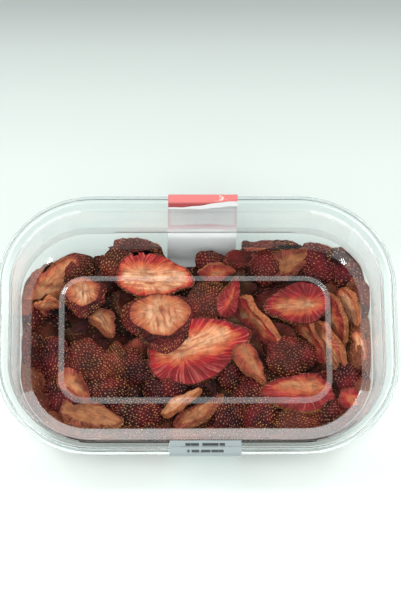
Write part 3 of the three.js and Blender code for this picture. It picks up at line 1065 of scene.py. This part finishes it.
def fleshMaterial(colours):
    material, tree, place = newMaterial("driedFlesh")
    tint = {name: shade(*colour) for name, colour in colours.items()}
    inward = attributeNode(tree, "inward")["Fac"]
    fibre = attributeNode(tree, "fibre")["Vector"]
    flat = attributeNode(tree, "flat")["Vector"]
    red, core, _ = splitVector(tree, attributeNode(tree, "look")["Vector"])
    streaks = noiseNode(tree, scaledVector(tree, fibre, 9, 9, 4), 1.0, 2.0)
    hairs = noiseNode(tree, scaledVector(tree, fibre, 19, 19, 3), 1.0, 1.0)
    lengthwise = noiseNode(tree, scaledVector(tree, flat, 1.5, 9, 1), 1.0, 2.5)
    mottle = noiseNode(tree, place, 320.0, 4.0)
    blotch = noiseNode(tree, place, 85.0, 2.0)

    zone = inward  # 0 at the rim and about 1 in the core, its borders ragged
    for value, *ends in ((streaks, 0.25, 0.75, -0.11, 0.11), (blotch, 0.25, 0.75, -0.07, 0.07),
                         (core, 0.0, 1.0, -0.12, 0.16)):
        zone = mathNode(tree, "ADD", zone, rangeNode(tree, value, *ends))
    zone = mathNode(tree, "ADD", zone, attributeNode(tree, "spread")["Fac"])

    outer = mixColours(tree, red, tint["brown"], tint["crimson"])
    plum = product(tree, rangeNode(tree, zone, 0.1, 0.36, 0.75, 0.0), red)
    inner = mixColours(tree, core, tint["tan"], tint["cream"])
    light = product(tree, rangeNode(tree, lengthwise, 0.52, 0.66, 0.0, 0.75), core)
    for factor, name in ((plum, "plum"), (rangeNode(tree, hairs, 0.52, 0.66, 0.0, 0.52), "hairs"),
                         (rangeNode(tree, hairs, 0.34, 0.46, 0.6, 0.0), "burnt")):
        outer = mixColours(tree, factor, outer, tint[name])
    for factor, name in ((light, "strand"),
                         (rangeNode(tree, lengthwise, 0.32, 0.48, 0.85, 0.0), "darkStrand"),
                         (rangeNode(tree, streaks, 0.3, 0.5, 0.5, 0.0), "orange")):
        inner = mixColours(tree, factor, inner, tint[name])
    warm = mixColours(tree, rangeNode(tree, red, 0.02, 0.35), tint["tan"], tint["orange"])
    colour = mixColours(tree, rangeNode(tree, zone, 0.32, 0.52), outer, warm)
    colour = mixColours(tree, rangeNode(tree, zone, 0.5, 0.82), colour, inner)
    offCore = rangeNode(tree, core, 0.3, 1.0, 1.0, 0.3)
    burnt = product(tree, rangeNode(tree, blotch, 0.5, 0.72, 0.0, 0.7), offCore)
    for factor, name in ((rangeNode(tree, inward, 0.015, 0.07, 1.0, 0.0), "rim"), (burnt, "burnt"),
                         (rangeNode(tree, mottle, 0.3, 0.62, 0.44, 0.0), "burnt")):
        colour = mixColours(tree, factor, colour, tint[name])
    coverDried(tree, colour, mottle, 0.42, 0.66, 0.16,
               (streaks, 0.5, 0.001), (lengthwise, 0.4, 0.0009), (mottle, 0.6, 0.001))
    return material


skinColours = {
    "dark": (38, 11, 16),
    "red": (89, 22, 28),
    "rind": (182, 108, 70),
}


def skinMaterial(colours):
    material, tree, place = newMaterial("driedSkin")
    tint = {name: shade(*colour) for name, colour in colours.items()}
    leather, patches = noiseNode(tree, place, 420.0, 3.0), noiseNode(tree, place, 110.0, 3.0)
    colour = mixColours(tree, rangeNode(tree, patches, 0.36, 0.66), tint["dark"], tint["red"])
    _, _, tan = splitVector(tree, attributeNode(tree, "look")["Vector"])
    rind = product(tree, tan, rangeNode(tree, leather, 0.3, 0.7, 0.55, 1.0))
    colour = mixColours(tree, rind, colour, tint["rind"])
    coverDried(tree, colour, leather, 0.38, 0.6, 0.18, (leather, 0.6, 0.0008), (patches, 0.5, 0.0014))
    return material


pipColours = {"dull": ((122, 53, 47), (176, 97, 73)), "gold": ((142, 84, 48), (204, 147, 84))}


def pipMaterial(colours):
    material, tree, place = newMaterial("driedPips")
    tone = rangeNode(tree, noiseNode(tree, place, 380.0, 2.0), 0.35, 0.65)
    dull, gold = (mixColours(tree, tone, shade(*dark), shade(*light)) for dark, light in colours.values())
    region = rangeNode(tree, noiseNode(tree, place, 48.0, 1.0), 0.4, 0.6)
    cover(tree, {"Base Color": mixColours(tree, region, dull, gold), "Roughness": 0.42})
    return material


# the slices that show best: kind, place, size, turn, lean and which way it leans
# look is how crimson, how pale in the core and how tan on the skin
def oneSlice(kind, place, size, yaw, lean=0, leanTo=0, look=(0.3, 0.4, 0.3), bends=(0, 0), **more):
    return {"kind": kind, "place": place, "size": size, "yaw": yaw, "lean": lean, "leanTo": leanTo,
            "look": look, "bends": bends, **more}


showingSlices = [
    oneSlice("cap", (79.5, 4, 18), (27, 19), 85, 84, 0, (0.3, 0.3, 0.05), tone=0.7),
    oneSlice("cap", (79, -14, 18.5), (26, 19), 95, 84, 0, (0.4, 0.3, 0.05), tone=0.7),
    oneSlice("cap", (78, 21, 19), (25, 19), 100, 84, 8, (0.4, 0.3, 0.05), tone=0.75),
    oneSlice("cap", (-79, -9, 19.5), (27, 19), 88, 84, 180, (0.4, 0.3, 0.05), tone=0.75),
    oneSlice("cap", (-56.5, 34.5, 21), (27, 20), 35, 34, -60, (0.3, 0.3, 0.1), tone=0.85),
    oneSlice("middle", (-42.8, 9.4, 23.5), (18, 12), -62, 24, 60, (0.05, 0.7, 0.5)),
    oneSlice("middle", (-66, 28.5, 24.5), (34, 22), 49, 44, -41, (0.2, 0.35, 0.5), (0.01, 0.02), spread=0.2,
             band=(1, 0)),
    oneSlice("middle", (-68.5, 18, 26), (15, 8), -20, 72, -70, (0.1, 0.6, 1)),
    oneSlice("wideRing", (-52, 21.5, 26.4), (23, 21), -90, 14, 135, (0.22, 0.85, 0.05), strength=0.6,
             spread=0.08, tone=0.95),
    oneSlice("cap", (-28.5, 43.5, 25.5), (26, 16), 8, 34, -90, (0.15, 0.3, 0.1), tone=0.85),
    oneSlice("cap", (-36.5, 38, 23.5), (21, 16), 75, 40, -70, (0.3, 0.2, 0.1)),
    oneSlice("middle", (-17.6, 31.4, 26.2), (36, 23), -6, 10, -95, (0.8, 0.85, 0.3), (0.004, 0.01),
             spread=0.0, band=(1, -0.14)),
    oneSlice("wideRing", (-15.8, 9.2, 26.6), (34, 36), -82, 10, 90, (0.2, 0.8, 0.05), strength=0.7,
             spread=0.12, tone=0.9),
    oneSlice("middle", (3.4, -3.2, 24.3), (50, 31), 18, 9, -80, (1, 0.8, 0.2), (0.003, 0.004), strength=0.7,
             spread=-0.2, band=(1, 0.2)),
    oneSlice("cap", (6.2, 21, 24.9), (26, 20), 70, 12, 45, (0.3, 0.3, 0.1)),
    oneSlice("middle", (15.6, 21.4, 24.6), (21, 11), 66, 34, -20, (1, 0, 0.2), spread=-0.2, band=(0.8, 0)),
    oneSlice("middle", (30, 8.6, 22.3), (31, 16), -52, 58, 218, (0.8, 0.35, 0.8), (0, 0.09), thick=1.2),
    oneSlice("middle", (45.6, 17.4, 25.8), (32, 22), 186, 12, 80, (1, 0.45, 0.2), (0, -0.015), tone=0.9,
             spread=-0.1, band=(1, 0.15)),
    oneSlice("middle", (62, -6.2, 21.5), (37, 19), -60, 52, 210, (0.15, 0.6, 0.75), (0.006, 0.05), spread=0.1,
             tone=1.1),
    oneSlice("middle", (53, 2.2, 21.5), (27, 14), -60, 55, 212, (0.85, 0.2, 0.6), (0, 0.04)),
    oneSlice("middle", (64.4, 9.7, 22), (28, 16), -75, 50, 195, (0.6, 0.25, 0.7), (0, 0.05)),
    oneSlice("middle", (72, 15.2, 23), (23, 14), -70, 62, 200, (0.25, 0.8, 0.8), (0.01, 0.03), spread=0.15),
    oneSlice("middle", (76, -3.3, 26.6), (15, 7), -72, 30, 180, (0.1, 1, 1)),
    oneSlice("cap", (60, 38.5, 24.5), (31, 24), 10, 22, 250, (0.3, 0.3, 0)),
    oneSlice("cap", (71.5, 33.5, 27.5), (36, 25), -48, 38, 225, (0.4, 0.3, 0)),
    oneSlice("middle", (45.2, 39.3, 24.5), (22, 14), 30, 24, -60, (0.05, 0.2, 0.5), tone=0.7),
    oneSlice("cap", (8, 38.2, 21), (17, 17), 35, 26, -60, (0.2, 0.2, 0)),
    oneSlice("cap", (21, 39.6, 28), (19, 9), 3, 14, -90, (0.3, 0.2, 0.05)),
    oneSlice("middle", (34.9, 45.6, 30.5), (27, 6), 4, 78, -90, (0.1, 0, 0.1), tone=0.75),
    oneSlice("middle", (10.1, 34.1, 24.5), (17, 9), 8, 48, -90, (0.5, 0.3, 0.7)),
    oneSlice("cap", (33.5, 37.5, 24.5), (23, 18), 160, 18, -60, (0.4, 0.3, 0.05)),
    oneSlice("middle", (44.8, -25.8, 24.5), (35, 21), 176, 10, 90, (0.85, 0.15, 0.4), (0, 0.02), spread=-0.02,
             band=(1, -0.35)),
    oneSlice("middle", (25.2, -11.9, 25), (24, 12), -58, 26, 30, (0.25, 0.3, 0.6), spread=0.1, band=(1, 0)),
    oneSlice("cap", (44.7, -6.8, 23), (30, 20), 10, 10, -60, (0.3, 0.3, 0.05), tone=1.3),
    oneSlice("cap", (-29.5, -12.1, 22.8), (26, 18), -15, 8, -90, (0.3, 0.3, 0)),
    oneSlice("cap", (-38, -9, 24.2), (21, 12), 86, 22, 180, (0.3, 0.3, 0.1)),
    oneSlice("cap", (-67.2, -8.5, 24.5), (27, 20), -75, 24, 195, (0.75, 0.15, 0), tone=0.9),
    oneSlice("cap", (-51.1, -9.7, 24), (27, 22), -30, 10, -120, (0.3, 0.3, 0.05)),
    oneSlice("middle", (-55.6, -22.1, 24.5), (20, 12), -50, 12, 40, (0.15, 0.4, 0.7)),
    oneSlice("middle", (-47.8, -36.6, 26), (30, 17), -22, 22, 90, (0, 0.15, 0.5), tone=0.74, spread=0.24,
             band=(1, 0)),
    oneSlice("cap", (-27.3, -36.3, 24), (28, 18), 10, 15, -90, (0.2, 0.2, 0)),
    oneSlice("middle", (-6.7, -29.8, 25), (22, 8), 35, 40, 125, (0, 0.9, 0.8), spread=0.2),
    oneSlice("middle", (1.5, -34.9, 24.5), (28, 12), 35, 34, 125, (0.1, 0.3, 0.6), tone=0.75, spread=0.1),
    oneSlice("cap", (18.5, -13.5, 20), (24, 18), 60, 14, 0, (0.2, 0.2, 0)),
    oneSlice("middle", (71, -29.7, 26), (13, 10), -40, 20, -60, (0.85, 0.2, 0.3)),
    oneSlice("cap", (-78.5, 17.9, 26.5), (20, 13), 70, 40, -20, (0.3, 0.3, 0.3)),
    oneSlice("cap", (13, -36.5, 23.5), (26, 18), 105, 12, -60, (0.3, 0.3, 0)),
    oneSlice("cap", (29.5, -37.5, 24), (25, 18), 60, 14, -90, (0.2, 0.2, 0)),
    oneSlice("cap", (46, -40.5, 24.5), (27, 17), 10, 18, -90, (0.3, 0.2, 0.1)),
    oneSlice("cap", (62.5, -36, 23.5), (24, 18), 35, 18, -60, (0.3, 0.2, 0)),
    oneSlice("cap", (25.5, -25.5, 22.5), (25, 19), -20, 8, 180, (0.2, 0.3, 0)),
    oneSlice("cap", (-63, -27, 22.5), (26, 18), 120, 16, 220, (0.3, 0.3, 0)),
    oneSlice("cap", (-14, -22.5, 22), (25, 19), 30, 10, 200, (0.3, 0.3, 0)),
    oneSlice("cap", (-40, -25, 22.5), (25, 18), 165, 12, -60, (0.3, 0.3, 0)),
    oneSlice("cap", (72, -16.5, 23.5), (24, 17), 80, 22, 0, (0.3, 0.3, 0)),
]


heap = {
    "standsFor": ("strawberry_slices", "dried_strawberry"),  # the solid that it replaces, and its finish
    "level": 18.5,  # mm, where the slices under the showing ones lie
    "wallSwell": 6.0,
    "hollows": ((-52, 40, 24, 8), (-8, 50, 17, 7), (36, 50, 9, 4)),  # place, reach and depth
    "empty": (  # place and reach
        (17, 42, 7), (20, 49, 8), (53, 49, 8), (-60, 44, 13), (-48, 49, 11), (-2, 46, 17),
    ),
    "seed": 11,
    "stray": 3,  # mm, to each side
    "underGrid": (5, 8, 12.5),  # rows and columns to each side of the middle, and their step
    "underInset": 15,
    "baseGrid": (3, 5, 17.0),
    "baseInset": 22,
    "baseHeight": 4.6,
    "lengths": {"under": (22, 32), "wall": (23, 31), "base": (23, 31)},
    "tones": (0.5, 0.85),  # of the slices under the showing ones, kept dark as painted shade under the top layer
    "shadeTop": (26.0, 17.0),  # painted shade: the colour deepens down between these heights, in mm, away from the wall
    "shadeEdge": (13.5, 20.0),
    "shadeDepth": 0.82,
}


def heapLevelAt(x, y):
    level = heap["level"] + heap["wallSwell"] * (1 - float(smoothStep(11, 22, insetAt(x, y))))
    for hx, hy, reach, depth in heap["hollows"]:
        level -= depth * math.exp(-((x - hx) ** 2 + (y - hy) ** 2) / reach ** 2)
    return level


def outlinePoint(inset, share):
    # a point on the rounded outline at this inset, and which way is out
    halfX, halfY = box["halfLength"] - inset, box["halfWidth"] - box["narrower"] - inset
    radius = box["corner"] - inset
    straightX, straightY, arc = 2 * (halfX - radius), 2 * (halfY - radius), radius * math.pi / 2
    run = share % 1 * (2 * straightX + 2 * straightY + 4 * arc)
    for cornerX, cornerY, start, straight in ((1, 1, 0, straightX), (-1, 1, 90, straightY),
                                              (-1, -1, 180, straightX), (1, -1, 270, straightY)):
        if run < arc + straight:  # round this corner, then along the side after it
            angle = math.radians(start) + min(run, arc) / radius
            beyond = max(run - arc, 0)
            x = cornerX * (halfX - radius) + radius * math.cos(angle) - beyond * math.sin(angle)
            y = cornerY * (halfY - radius) + radius * math.sin(angle) + beyond * math.cos(angle)
            return x, y, math.degrees(angle)
        run -= arc + straight
    return halfX, 0.0, 0.0


def anyLook(rng):
    if rng.random() < 0.3:
        return (rng.uniform(0.6, 1), rng.uniform(0.2, 0.9), rng.uniform(0, 0.3))
    return (rng.uniform(0, 0.5), rng.uniform(0.2, 0.7), rng.uniform(0, 0.5))


def anyBends(rng, low, high):
    return rng.uniform(-0.01, 0.01), rng.uniform(low, high)


def isEmpty(x, y):
    return any(math.hypot(x - ex, y - ey) < reach for ex, ey, reach in heap["empty"])


def gridPlaces(rng, rows, columns, step):
    # every other row is set off by half a step, and each place strays a little
    stray = heap["stray"]
    for row in range(-rows, rows + 1):
        for column in range(-columns, columns + 1):
            x = (column + 0.5 * (row % 2)) * step + rng.uniform(-stray, stray)
            yield x, row * step * 0.86 + rng.uniform(-stray, stray)


def underSlices(rng):
    # a loose layer just under the showing slices
    slices = []
    for x, y in gridPlaces(rng, *heap["underGrid"]):
        kind = rng.choice(("cap", "cap", "middle", "ring", "wideRing"))
        length, lean = rng.uniform(*heap["lengths"]["under"]), rng.uniform(5, 38)
        z = heapLevelAt(x, y) + rng.uniform(-3, 2) - 0.3 * length * math.sin(math.radians(lean))
        cut = oneSlice(kind, (x, y, z), (length, length * rng.uniform(0.6, 0.8)), rng.uniform(0, 360), lean,
                       rng.uniform(0, 360), anyLook(rng), anyBends(rng, -0.02, 0.03),
                       tone=rng.uniform(*heap["tones"]))
        if insetAt(x, y) >= heap["underInset"] and not isEmpty(x, y):
            slices.append(cut)
    return slices


wallRows = (  # inset, height, how many, how far set off, range of lean and which way they lean from outwards
    (14.5, 9.5, 26, 0.0, (82, 104), 0),
    (12.2, 18.5, 27, 0.5, (82, 104), 0),
    (14.8, 25.0, 30, 0.2, (22, 50), 180),
)


def wallSlices(rng):
    # two rows that stand against the clear wall, and a third that leans back on it like a bowl's rim
    slices = []
    for inset, z, count, shift, leans, turned in wallRows:
        for number in range(count):
            x, y, outward = outlinePoint(inset, (number + shift + rng.uniform(-0.25, 0.25)) / count)
            high = min(z + rng.uniform(-1.5, 1.5), heapLevelAt(x, y) + 2.5)
            kind = "cap" if turned else rng.choice(("cap", "cap", "cap", "cap", "ring", "cap", "cap"))
            length = rng.uniform(*heap["lengths"]["wall"])
            cut = oneSlice(kind, (x, y, high), (length, length * rng.uniform(0.55, 0.75)),
                           outward + 90 + rng.uniform(-40, 40), rng.uniform(*leans),
                           outward + turned + rng.uniform(-15, 15), anyLook(rng),
                           anyBends(rng, -0.03, 0.01), tone=rng.uniform(*heap["tones"]))
            if not isEmpty(x, y):
                slices.append(cut)
    return slices


def baseSlices(rng):
    # slices that lie on the tray's floor, their lower sides showing through it
    slices = []
    for x, y in gridPlaces(rng, *heap["baseGrid"]):
        if insetAt(x, y) < heap["baseInset"]:
            continue
        kind = rng.choice(("cap", "middle", "wideRing", "ring", "middle"))
        length = rng.uniform(*heap["lengths"]["base"])
        z = heap["baseHeight"] + rng.uniform(0, 1.5)
        cut = oneSlice(kind, (x, y, z), (length, length * rng.uniform(0.6, 0.8)),
                       rng.uniform(0, 360), rng.uniform(0, 10), rng.uniform(0, 360), anyLook(rng),
                       faceDown=True)
        slices.append(cut)
    return slices


heapCore = {  # the dark lumpy middle that the slices lie round, in mm; its dark colour is painted shade between the slices
    "halfSize": (72, 43),
    "square": 0.62,  # below 1, its outline is nearer to a rectangle
    "below": 5.5,
    "floor": 4.5,
    "underside": 3.0,
    "lumps": ((22, 1.6), (22, 1.6), (13, 1.3)),  # size and height along each axis
    "seed": 5,
    # painted shade, darker than any slice
    "colours": ((34, 12, 14), (84, 28, 30)),
}


def makeHeapCore(sizes):
    obj = newShape("uv_sphere", "heapCore", segments=96, ring_count=40, radius=1)
    halfX, halfY = sizes["halfSize"]
    for vertex in obj.data.vertices:
        x, y, z = vertex.co
        x, y = (math.copysign(abs(value) ** sizes["square"], value) for value in (x, y))
        top = heapLevelAt(x * (halfX - 2), y * (halfY - 1)) - sizes["below"] - sizes["floor"]
        vertex.co = (x * halfX, y * halfY, sizes["floor"] + 3 + (top if z > 0 else sizes["underside"]) * z)
    places = np.array([vertex.co for vertex in obj.data.vertices])
    rng = np.random.default_rng(sizes["seed"])
    lumps = np.stack([ripple(places, rng, size) * height for size, height in sizes["lumps"]], axis=1)
    obj.data.vertices.foreach_set("co", (keepInside(places + lumps) * mm).astype(np.float32).ravel())
    smoothByAngle(obj, 60)
    material, tree, place = newMaterial("heapShade")
    lump = noiseNode(tree, place, 160.0, 4.0)
    dark, light = (shade(*colour) for colour in sizes["colours"])
    colour = mixColours(tree, rangeNode(tree, lump, 0.35, 0.7), dark, light)
    cover(tree, {"Base Color": colour, "Roughness": 0.7, "Normal": bumpChain(tree, (lump, 0.8, 0.002))})
    finishPiece(obj, *heap["standsFor"], (material,))


def makeSlices():
    materials = (skinMaterial(skinColours), fleshMaterial(fleshColours), pipMaterial(pipColours))
    fine = {kind: modelSlice(kind, berryShape["fineDetail"]) for kind in berryShape["cuts"]}
    plain = {kind: modelSlice(kind, berryShape["plainDetail"]) for kind in berryShape["cuts"]}
    pip = modelAchene()
    rng = np.random.default_rng(heap["seed"])
    layers = (  # name, slices, templates and how far the pips are apart, in mm
        ("showing", showingSlices, fine, 1.5),
        ("under", underSlices(rng), plain, 1.9),
        ("wall", wallSlices(rng), plain, 1.9),
        ("base", baseSlices(rng), plain, 2.3),
    )
    for name, slices, templates, spacing in layers:
        layOutSlices(name, slices, templates, pip, spacing, rng, materials)
    makeHeapCore(heapCore)


strip = {
    "centre": 3.2,
    "width": 32.0,
    "thickness": 0.16,
    "lift": 0.45,  # how far its middle lies off the plastic
    "across": 26,
    "edge": 62.0,  # where it turns down over the lid's edge
    "rim": 50.0,
    "ledge": 48.7,
    "skirt": 46.3,
    "wall": ((51.1, 31.0), (47.6, 9.0)),  # the tray's wall, its top and its foot, as y and z
    "footRadius": 9.0,
    "underside": 0.25,  # how high its middle lies under the box
    "flap": (0.7, 2.3),  # how far the torn end folds back, left and right
    "curl": (  # out and up, from the tear on
        (0.0, 0.0), (0.9, 0.35), (1.5, 0.85), (1.55, 1.25),
        (1.1, 1.5), (0.4, 1.52), (-0.3, 1.5), (-1.0, 1.45),
    ),
    "wave": 0.12,
}


def stripPath(sizes):
    # its path square to the box, as y and z, from the front end to the edge of the tear
    lift, low = sizes["lift"], sizes["underside"]
    ledge, rim, edge = sizes["ledge"] + lift, sizes["rim"] + lift, sizes["edge"] + lift
    side = [(55.9, ledge), (57.3, ledge), (58.7, ledge), (59.4, rim), (60.6, rim),
            (edge - 0.5, rim), (edge, rim - 0.5), (edge, 48.3), (edge, sizes["skirt"])]
    wallTop, (footY, footZ) = sizes["wall"]
    for end, shares in ((wallTop, (0.2, 0.4, 0.6, 0.8, 1.0)), ((footY + lift, footZ), (0.33, 0.67, 1.0))):
        (startY, startZ), (endY, endZ) = side[-1], end
        side += [(between((startY, endY), share), between((startZ, endZ), share)) for share in shares]
    radius = sizes["footRadius"] + lift
    middle = footY + lift - radius
    for angle in (12, 24, 35, 46, 57, 68):
        turned = math.radians(angle)
        height = sizes["footRadius"] - radius * math.sin(turned)
        side.append((middle + radius * math.cos(turned), max(height, low)))
    side.append((middle - 1, low))
    front = [(-y, z) for y, z in side]
    under = [((middle - 1) * (share * 2 - 1), low) for share in (0.14, 0.28, 0.42, 0.57, 0.71, 0.86)]
    return front + under + side[:3:-1] + [(57.7, rim + 0.1)]


def stripPlace(sizes, path, share, row):  # share runs across it from left to right
    x = sizes["centre"] + (share - 0.5) * sizes["width"]
    if row < len(path):
        y, z = path[row]
        slack = 1 if 31 < z < 46 else 0.2
        wave = abs(sizes["wave"] * slack * math.sin(share * 7 + y * 0.4))
        return x, y + math.copysign(wave, y), z if z < 1 else z + 0.3 * wave
    turn = row - len(path)
    out, up = sizes["curl"][turn]
    tear = 57.2 - 1.9 * float(smoothStep(0.05, 0.55, 1 - share)) * 0.75
    reach = between(sizes["flap"], float(smoothStep(0.1, 0.75, share)))
    y = tear - out * 0.8 if out > 0 and turn < 4 else tear - 1.24 + (1.55 - out) / 2.55 * reach
    return x, y + 0.1 * math.sin(share * 23), sizes["rim"] + 0.45 + up + 0.06 * math.sin(share * 11 + 1)


def makeStrip(sizes):
    path = stripPath(sizes)
    lastRow = len(path) + len(sizes["curl"]) - 1
    obj = newShape("grid", "paperStrip", x_subdivisions=sizes["across"], y_subdivisions=lastRow, size=2)
    for vertex in obj.data.vertices:
        row = int(round((vertex.co.y + 1) / 2 * lastRow))
        vertex.co = Vector(stripPlace(sizes, path, (vertex.co.x + 1) / 2, row)) * mm
    makeActive(obj)
    startEditing()
    bpy.ops.mesh.subdivide(number_cuts=1, smoothness=0.4)
    bpy.ops.object.mode_set(mode="OBJECT")
    under = min(obj.data.polygons, key=lambda face: face.center.z)
    if under.normal.z > 0:
        obj.data.flip_normals()
    finishPiece(obj, "paper_strip", "label_paper", (printedPaper(paperColours), plainPaper(paperColours)))
    applyModifier(obj, "SOLIDIFY", thickness=sizes["thickness"] * mm, offset=0, material_offset=1)
    smoothByAngle(obj, 50)


paperColours = {
    "white": (190, 198, 197),
    "whiteFibre": (200, 200, 200),
    "red": (204, 112, 110),
    "shadedRed": (136, 52, 56),
    "wornRed": (255, 214, 200),
    "frontShade": (112, 122, 126),
    "ink": (26, 26, 30),
    "back": (192, 193, 193),
    "backFibre": (190, 190, 194),
    "paintedLightBack": (250, 251, 251),
    "backPink": (190, 162, 167),
}
printedLines = {  # plain broken bars in place of print: low, high, left and right in mm, and strength
    "front": (
        (-58.4, -57.1, -5.8, 12.8, 0.9),
        (-59.4, -58.8, -9.5, 15.5, 0.5),
        (-61.9, -60.6, -5.0, 11.2, 0.85),
    ),
    "under": ((-31, -29), (-26, -24.5), (-21.5, -20), (-17, -15.5), (12, 13.5), (16.5, 18)),
}


def makePrintedBand():
    # 1 between two heights of a value, with soft edges
    inputs = {"Value": "Float", "Low": "Float", "High": "Float", "Soft": "Float"}
    group, given, result = newGroup("printedBand", inputs, {"Mask": "Float"})
    sides = []
    for end, outside, within in (("Low", 0.0, 1.0), ("High", 1.0, 0.0)):
        before, after = (mathNode(group, way, given[end], given["Soft"]) for way in ("SUBTRACT", "ADD"))
        sides.append(rangeNode(group, given["Value"], before, after, outside, within))
    setInput(group, result["Mask"], product(group, *sides))
    return group


def makePaperGrain():
    outputs = {"Fibres": "Float", "Roughness": "Float", "Normal": "Vector"}
    group, given, result = newGroup("paperGrain", {"Vector": "Vector"}, outputs)
    fibres = noiseNode(group, given["Vector"], 900.0, 3.0)
    setInput(group, result["Fibres"], fibres)
    setInput(group, result["Roughness"], rangeNode(group, fibres, 0.3, 0.7, 0.5, 0.68))
    setInput(group, result["Normal"], bumpChain(group, (fibres, 0.25, 0.0003)))
    return group


printedBand, paperGrain = makePrintedBand(), makePaperGrain()


def band(tree, value, low, high, soft):
    return placeGroup(tree, printedBand, {"Value": value, "Low": low, "High": high, "Soft": soft})["Mask"]


def startPaper(name, colours):
    material, tree, place = newMaterial(name)
    tint = {key: shade(*colour) for key, colour in colours.items()}
    grain = placeGroup(tree, paperGrain, {"Vector": place})
    return material, tree, place, splitVector(tree, place), grain, tint


def coverPaper(tree, colour, grain, gloss=0.5):
    cover(tree, {"Base Color": colour, "Roughness": grain["Roughness"], "Normal": grain["Normal"],
                 "Specular IOR Level": gloss})


def printedPaper(colours):
    # the outer side: plain fields of colour and broken bars, no words
    material, tree, place, (x, y, z), grain, tint = startPaper("printedPaper", colours)
    fibres = rangeNode(tree, grain["Fibres"], 0.3, 0.7, 0.0, 0.06)
    colour = mixColours(tree, fibres, tint["white"], tint["whiteFibre"])
    onTop = rangeNode(tree, z, 0.046, 0.0475)
    # painted shade on the strip's front end, on top of the box
    shadedFrontEnd = product(tree, onTop, rangeNode(tree, y, -0.054, -0.05, 0.7, 0.0))
    colour = mixColours(tree, shadedFrontEnd, colour, tint["frontShade"])
    gaps = rangeNode(tree, noiseNode(tree, scaledVector(tree, place, 520, 90, 1), 1.0, 0.0), 0.36, 0.42)
    lines = [(low, high, left, right, 0.12, 0.15, product(tree, onTop, strength))
             for low, high, left, right, strength in printedLines["front"]]
    lines += [(low, high, -8, 14.5, 0.2, 0.2, 0.55) for low, high in printedLines["under"]]
    for low, high, left, right, softLong, softEnds, strength in lines:
        bar = product(tree, band(tree, y, low * mm, high * mm, softLong * mm),
                      band(tree, x, left * mm, right * mm, softEnds * mm), gaps, strength)
        colour = mixColours(tree, bar, colour, tint["ink"])
    redEnd = product(tree, band(tree, y, 0.05, 0.07, 0.0003), rangeNode(tree, z, 0.0342, 0.0348))
    redBand = band(tree, y, -0.0105, 0.0065, 0.0002)
    worn = rangeNode(tree, noiseNode(tree, place, 700.0, 4.0), 0.52, 0.6)
    places = rangeNode(tree, noiseNode(tree, scaledVector(tree, place, 140, 1, 1), 1.0, 0.0), 0.5, 0.6)
    speckle = product(tree, worn, rangeNode(tree, y, 0.0585, 0.0605), places)
    # painted shade: the red turns darker on the ledge below the rim
    deep = product(tree, rangeNode(tree, y, 0.0574, 0.0588, 1.0, 0.0), 0.9)
    red = mixColours(tree, deep, tint["red"], tint["shadedRed"])
    red = mixColours(tree, speckle, red, tint["wornRed"])
    colour = mixColours(tree, mathNode(tree, "MAXIMUM", redEnd, redBand), colour, red)
    coverPaper(tree, colour, grain, 0.45)
    return material


def plainPaper(colours):
    # the inner side, which shows through the clear wall, the print just tinting it
    material, tree, place, (x, y, z), grain, tint = startPaper("plainPaper", colours)
    fibres = rangeNode(tree, grain["Fibres"], 0.3, 0.7, 0.0, 0.1)
    colour = mixColours(tree, fibres, tint["back"], tint["backFibre"])
    wander = noiseNode(tree, scaledVector(tree, place, 60, 1, 1), 1.0, 1.0)
    level = mathNode(tree, "ADD", y, rangeNode(tree, wander, 0.3, 0.7, -0.0006, 0.0006))
    offMiddle = mathNode(tree, "ABSOLUTE", mathNode(tree, "SUBTRACT", x, strip["centre"] * mm))
    sides = rangeNode(tree, offMiddle, 0.0138, 0.0156, 0.0, 0.6)
    sides = product(tree, sides, band(tree, y, 0.0525, 0.0615, 0.0004))
    showing = mathNode(tree, "MAXIMUM", band(tree, level, 0.0522, 0.0538, 0.0003), sides)
    showing = product(tree, showing, rangeNode(tree, z, 0.0492, 0.0485))
    colour = mixColours(tree, showing, colour, tint["backPink"])
    # painted light: the inner side turns near white below these heights, lifting the shade that the slices
    # cast on it
    colour = mixColours(tree, rangeNode(tree, z, 0.031, 0.035, 1.0, 0.0), colour, tint["paintedLightBack"])
    coverPaper(tree, colour, grain)
    return material


makeLid()
makeTray()
print("the lid and the tray are made")
makeSlices()
print("the slices are laid out")
makeStrip(strip)
print("the paper strip is on")
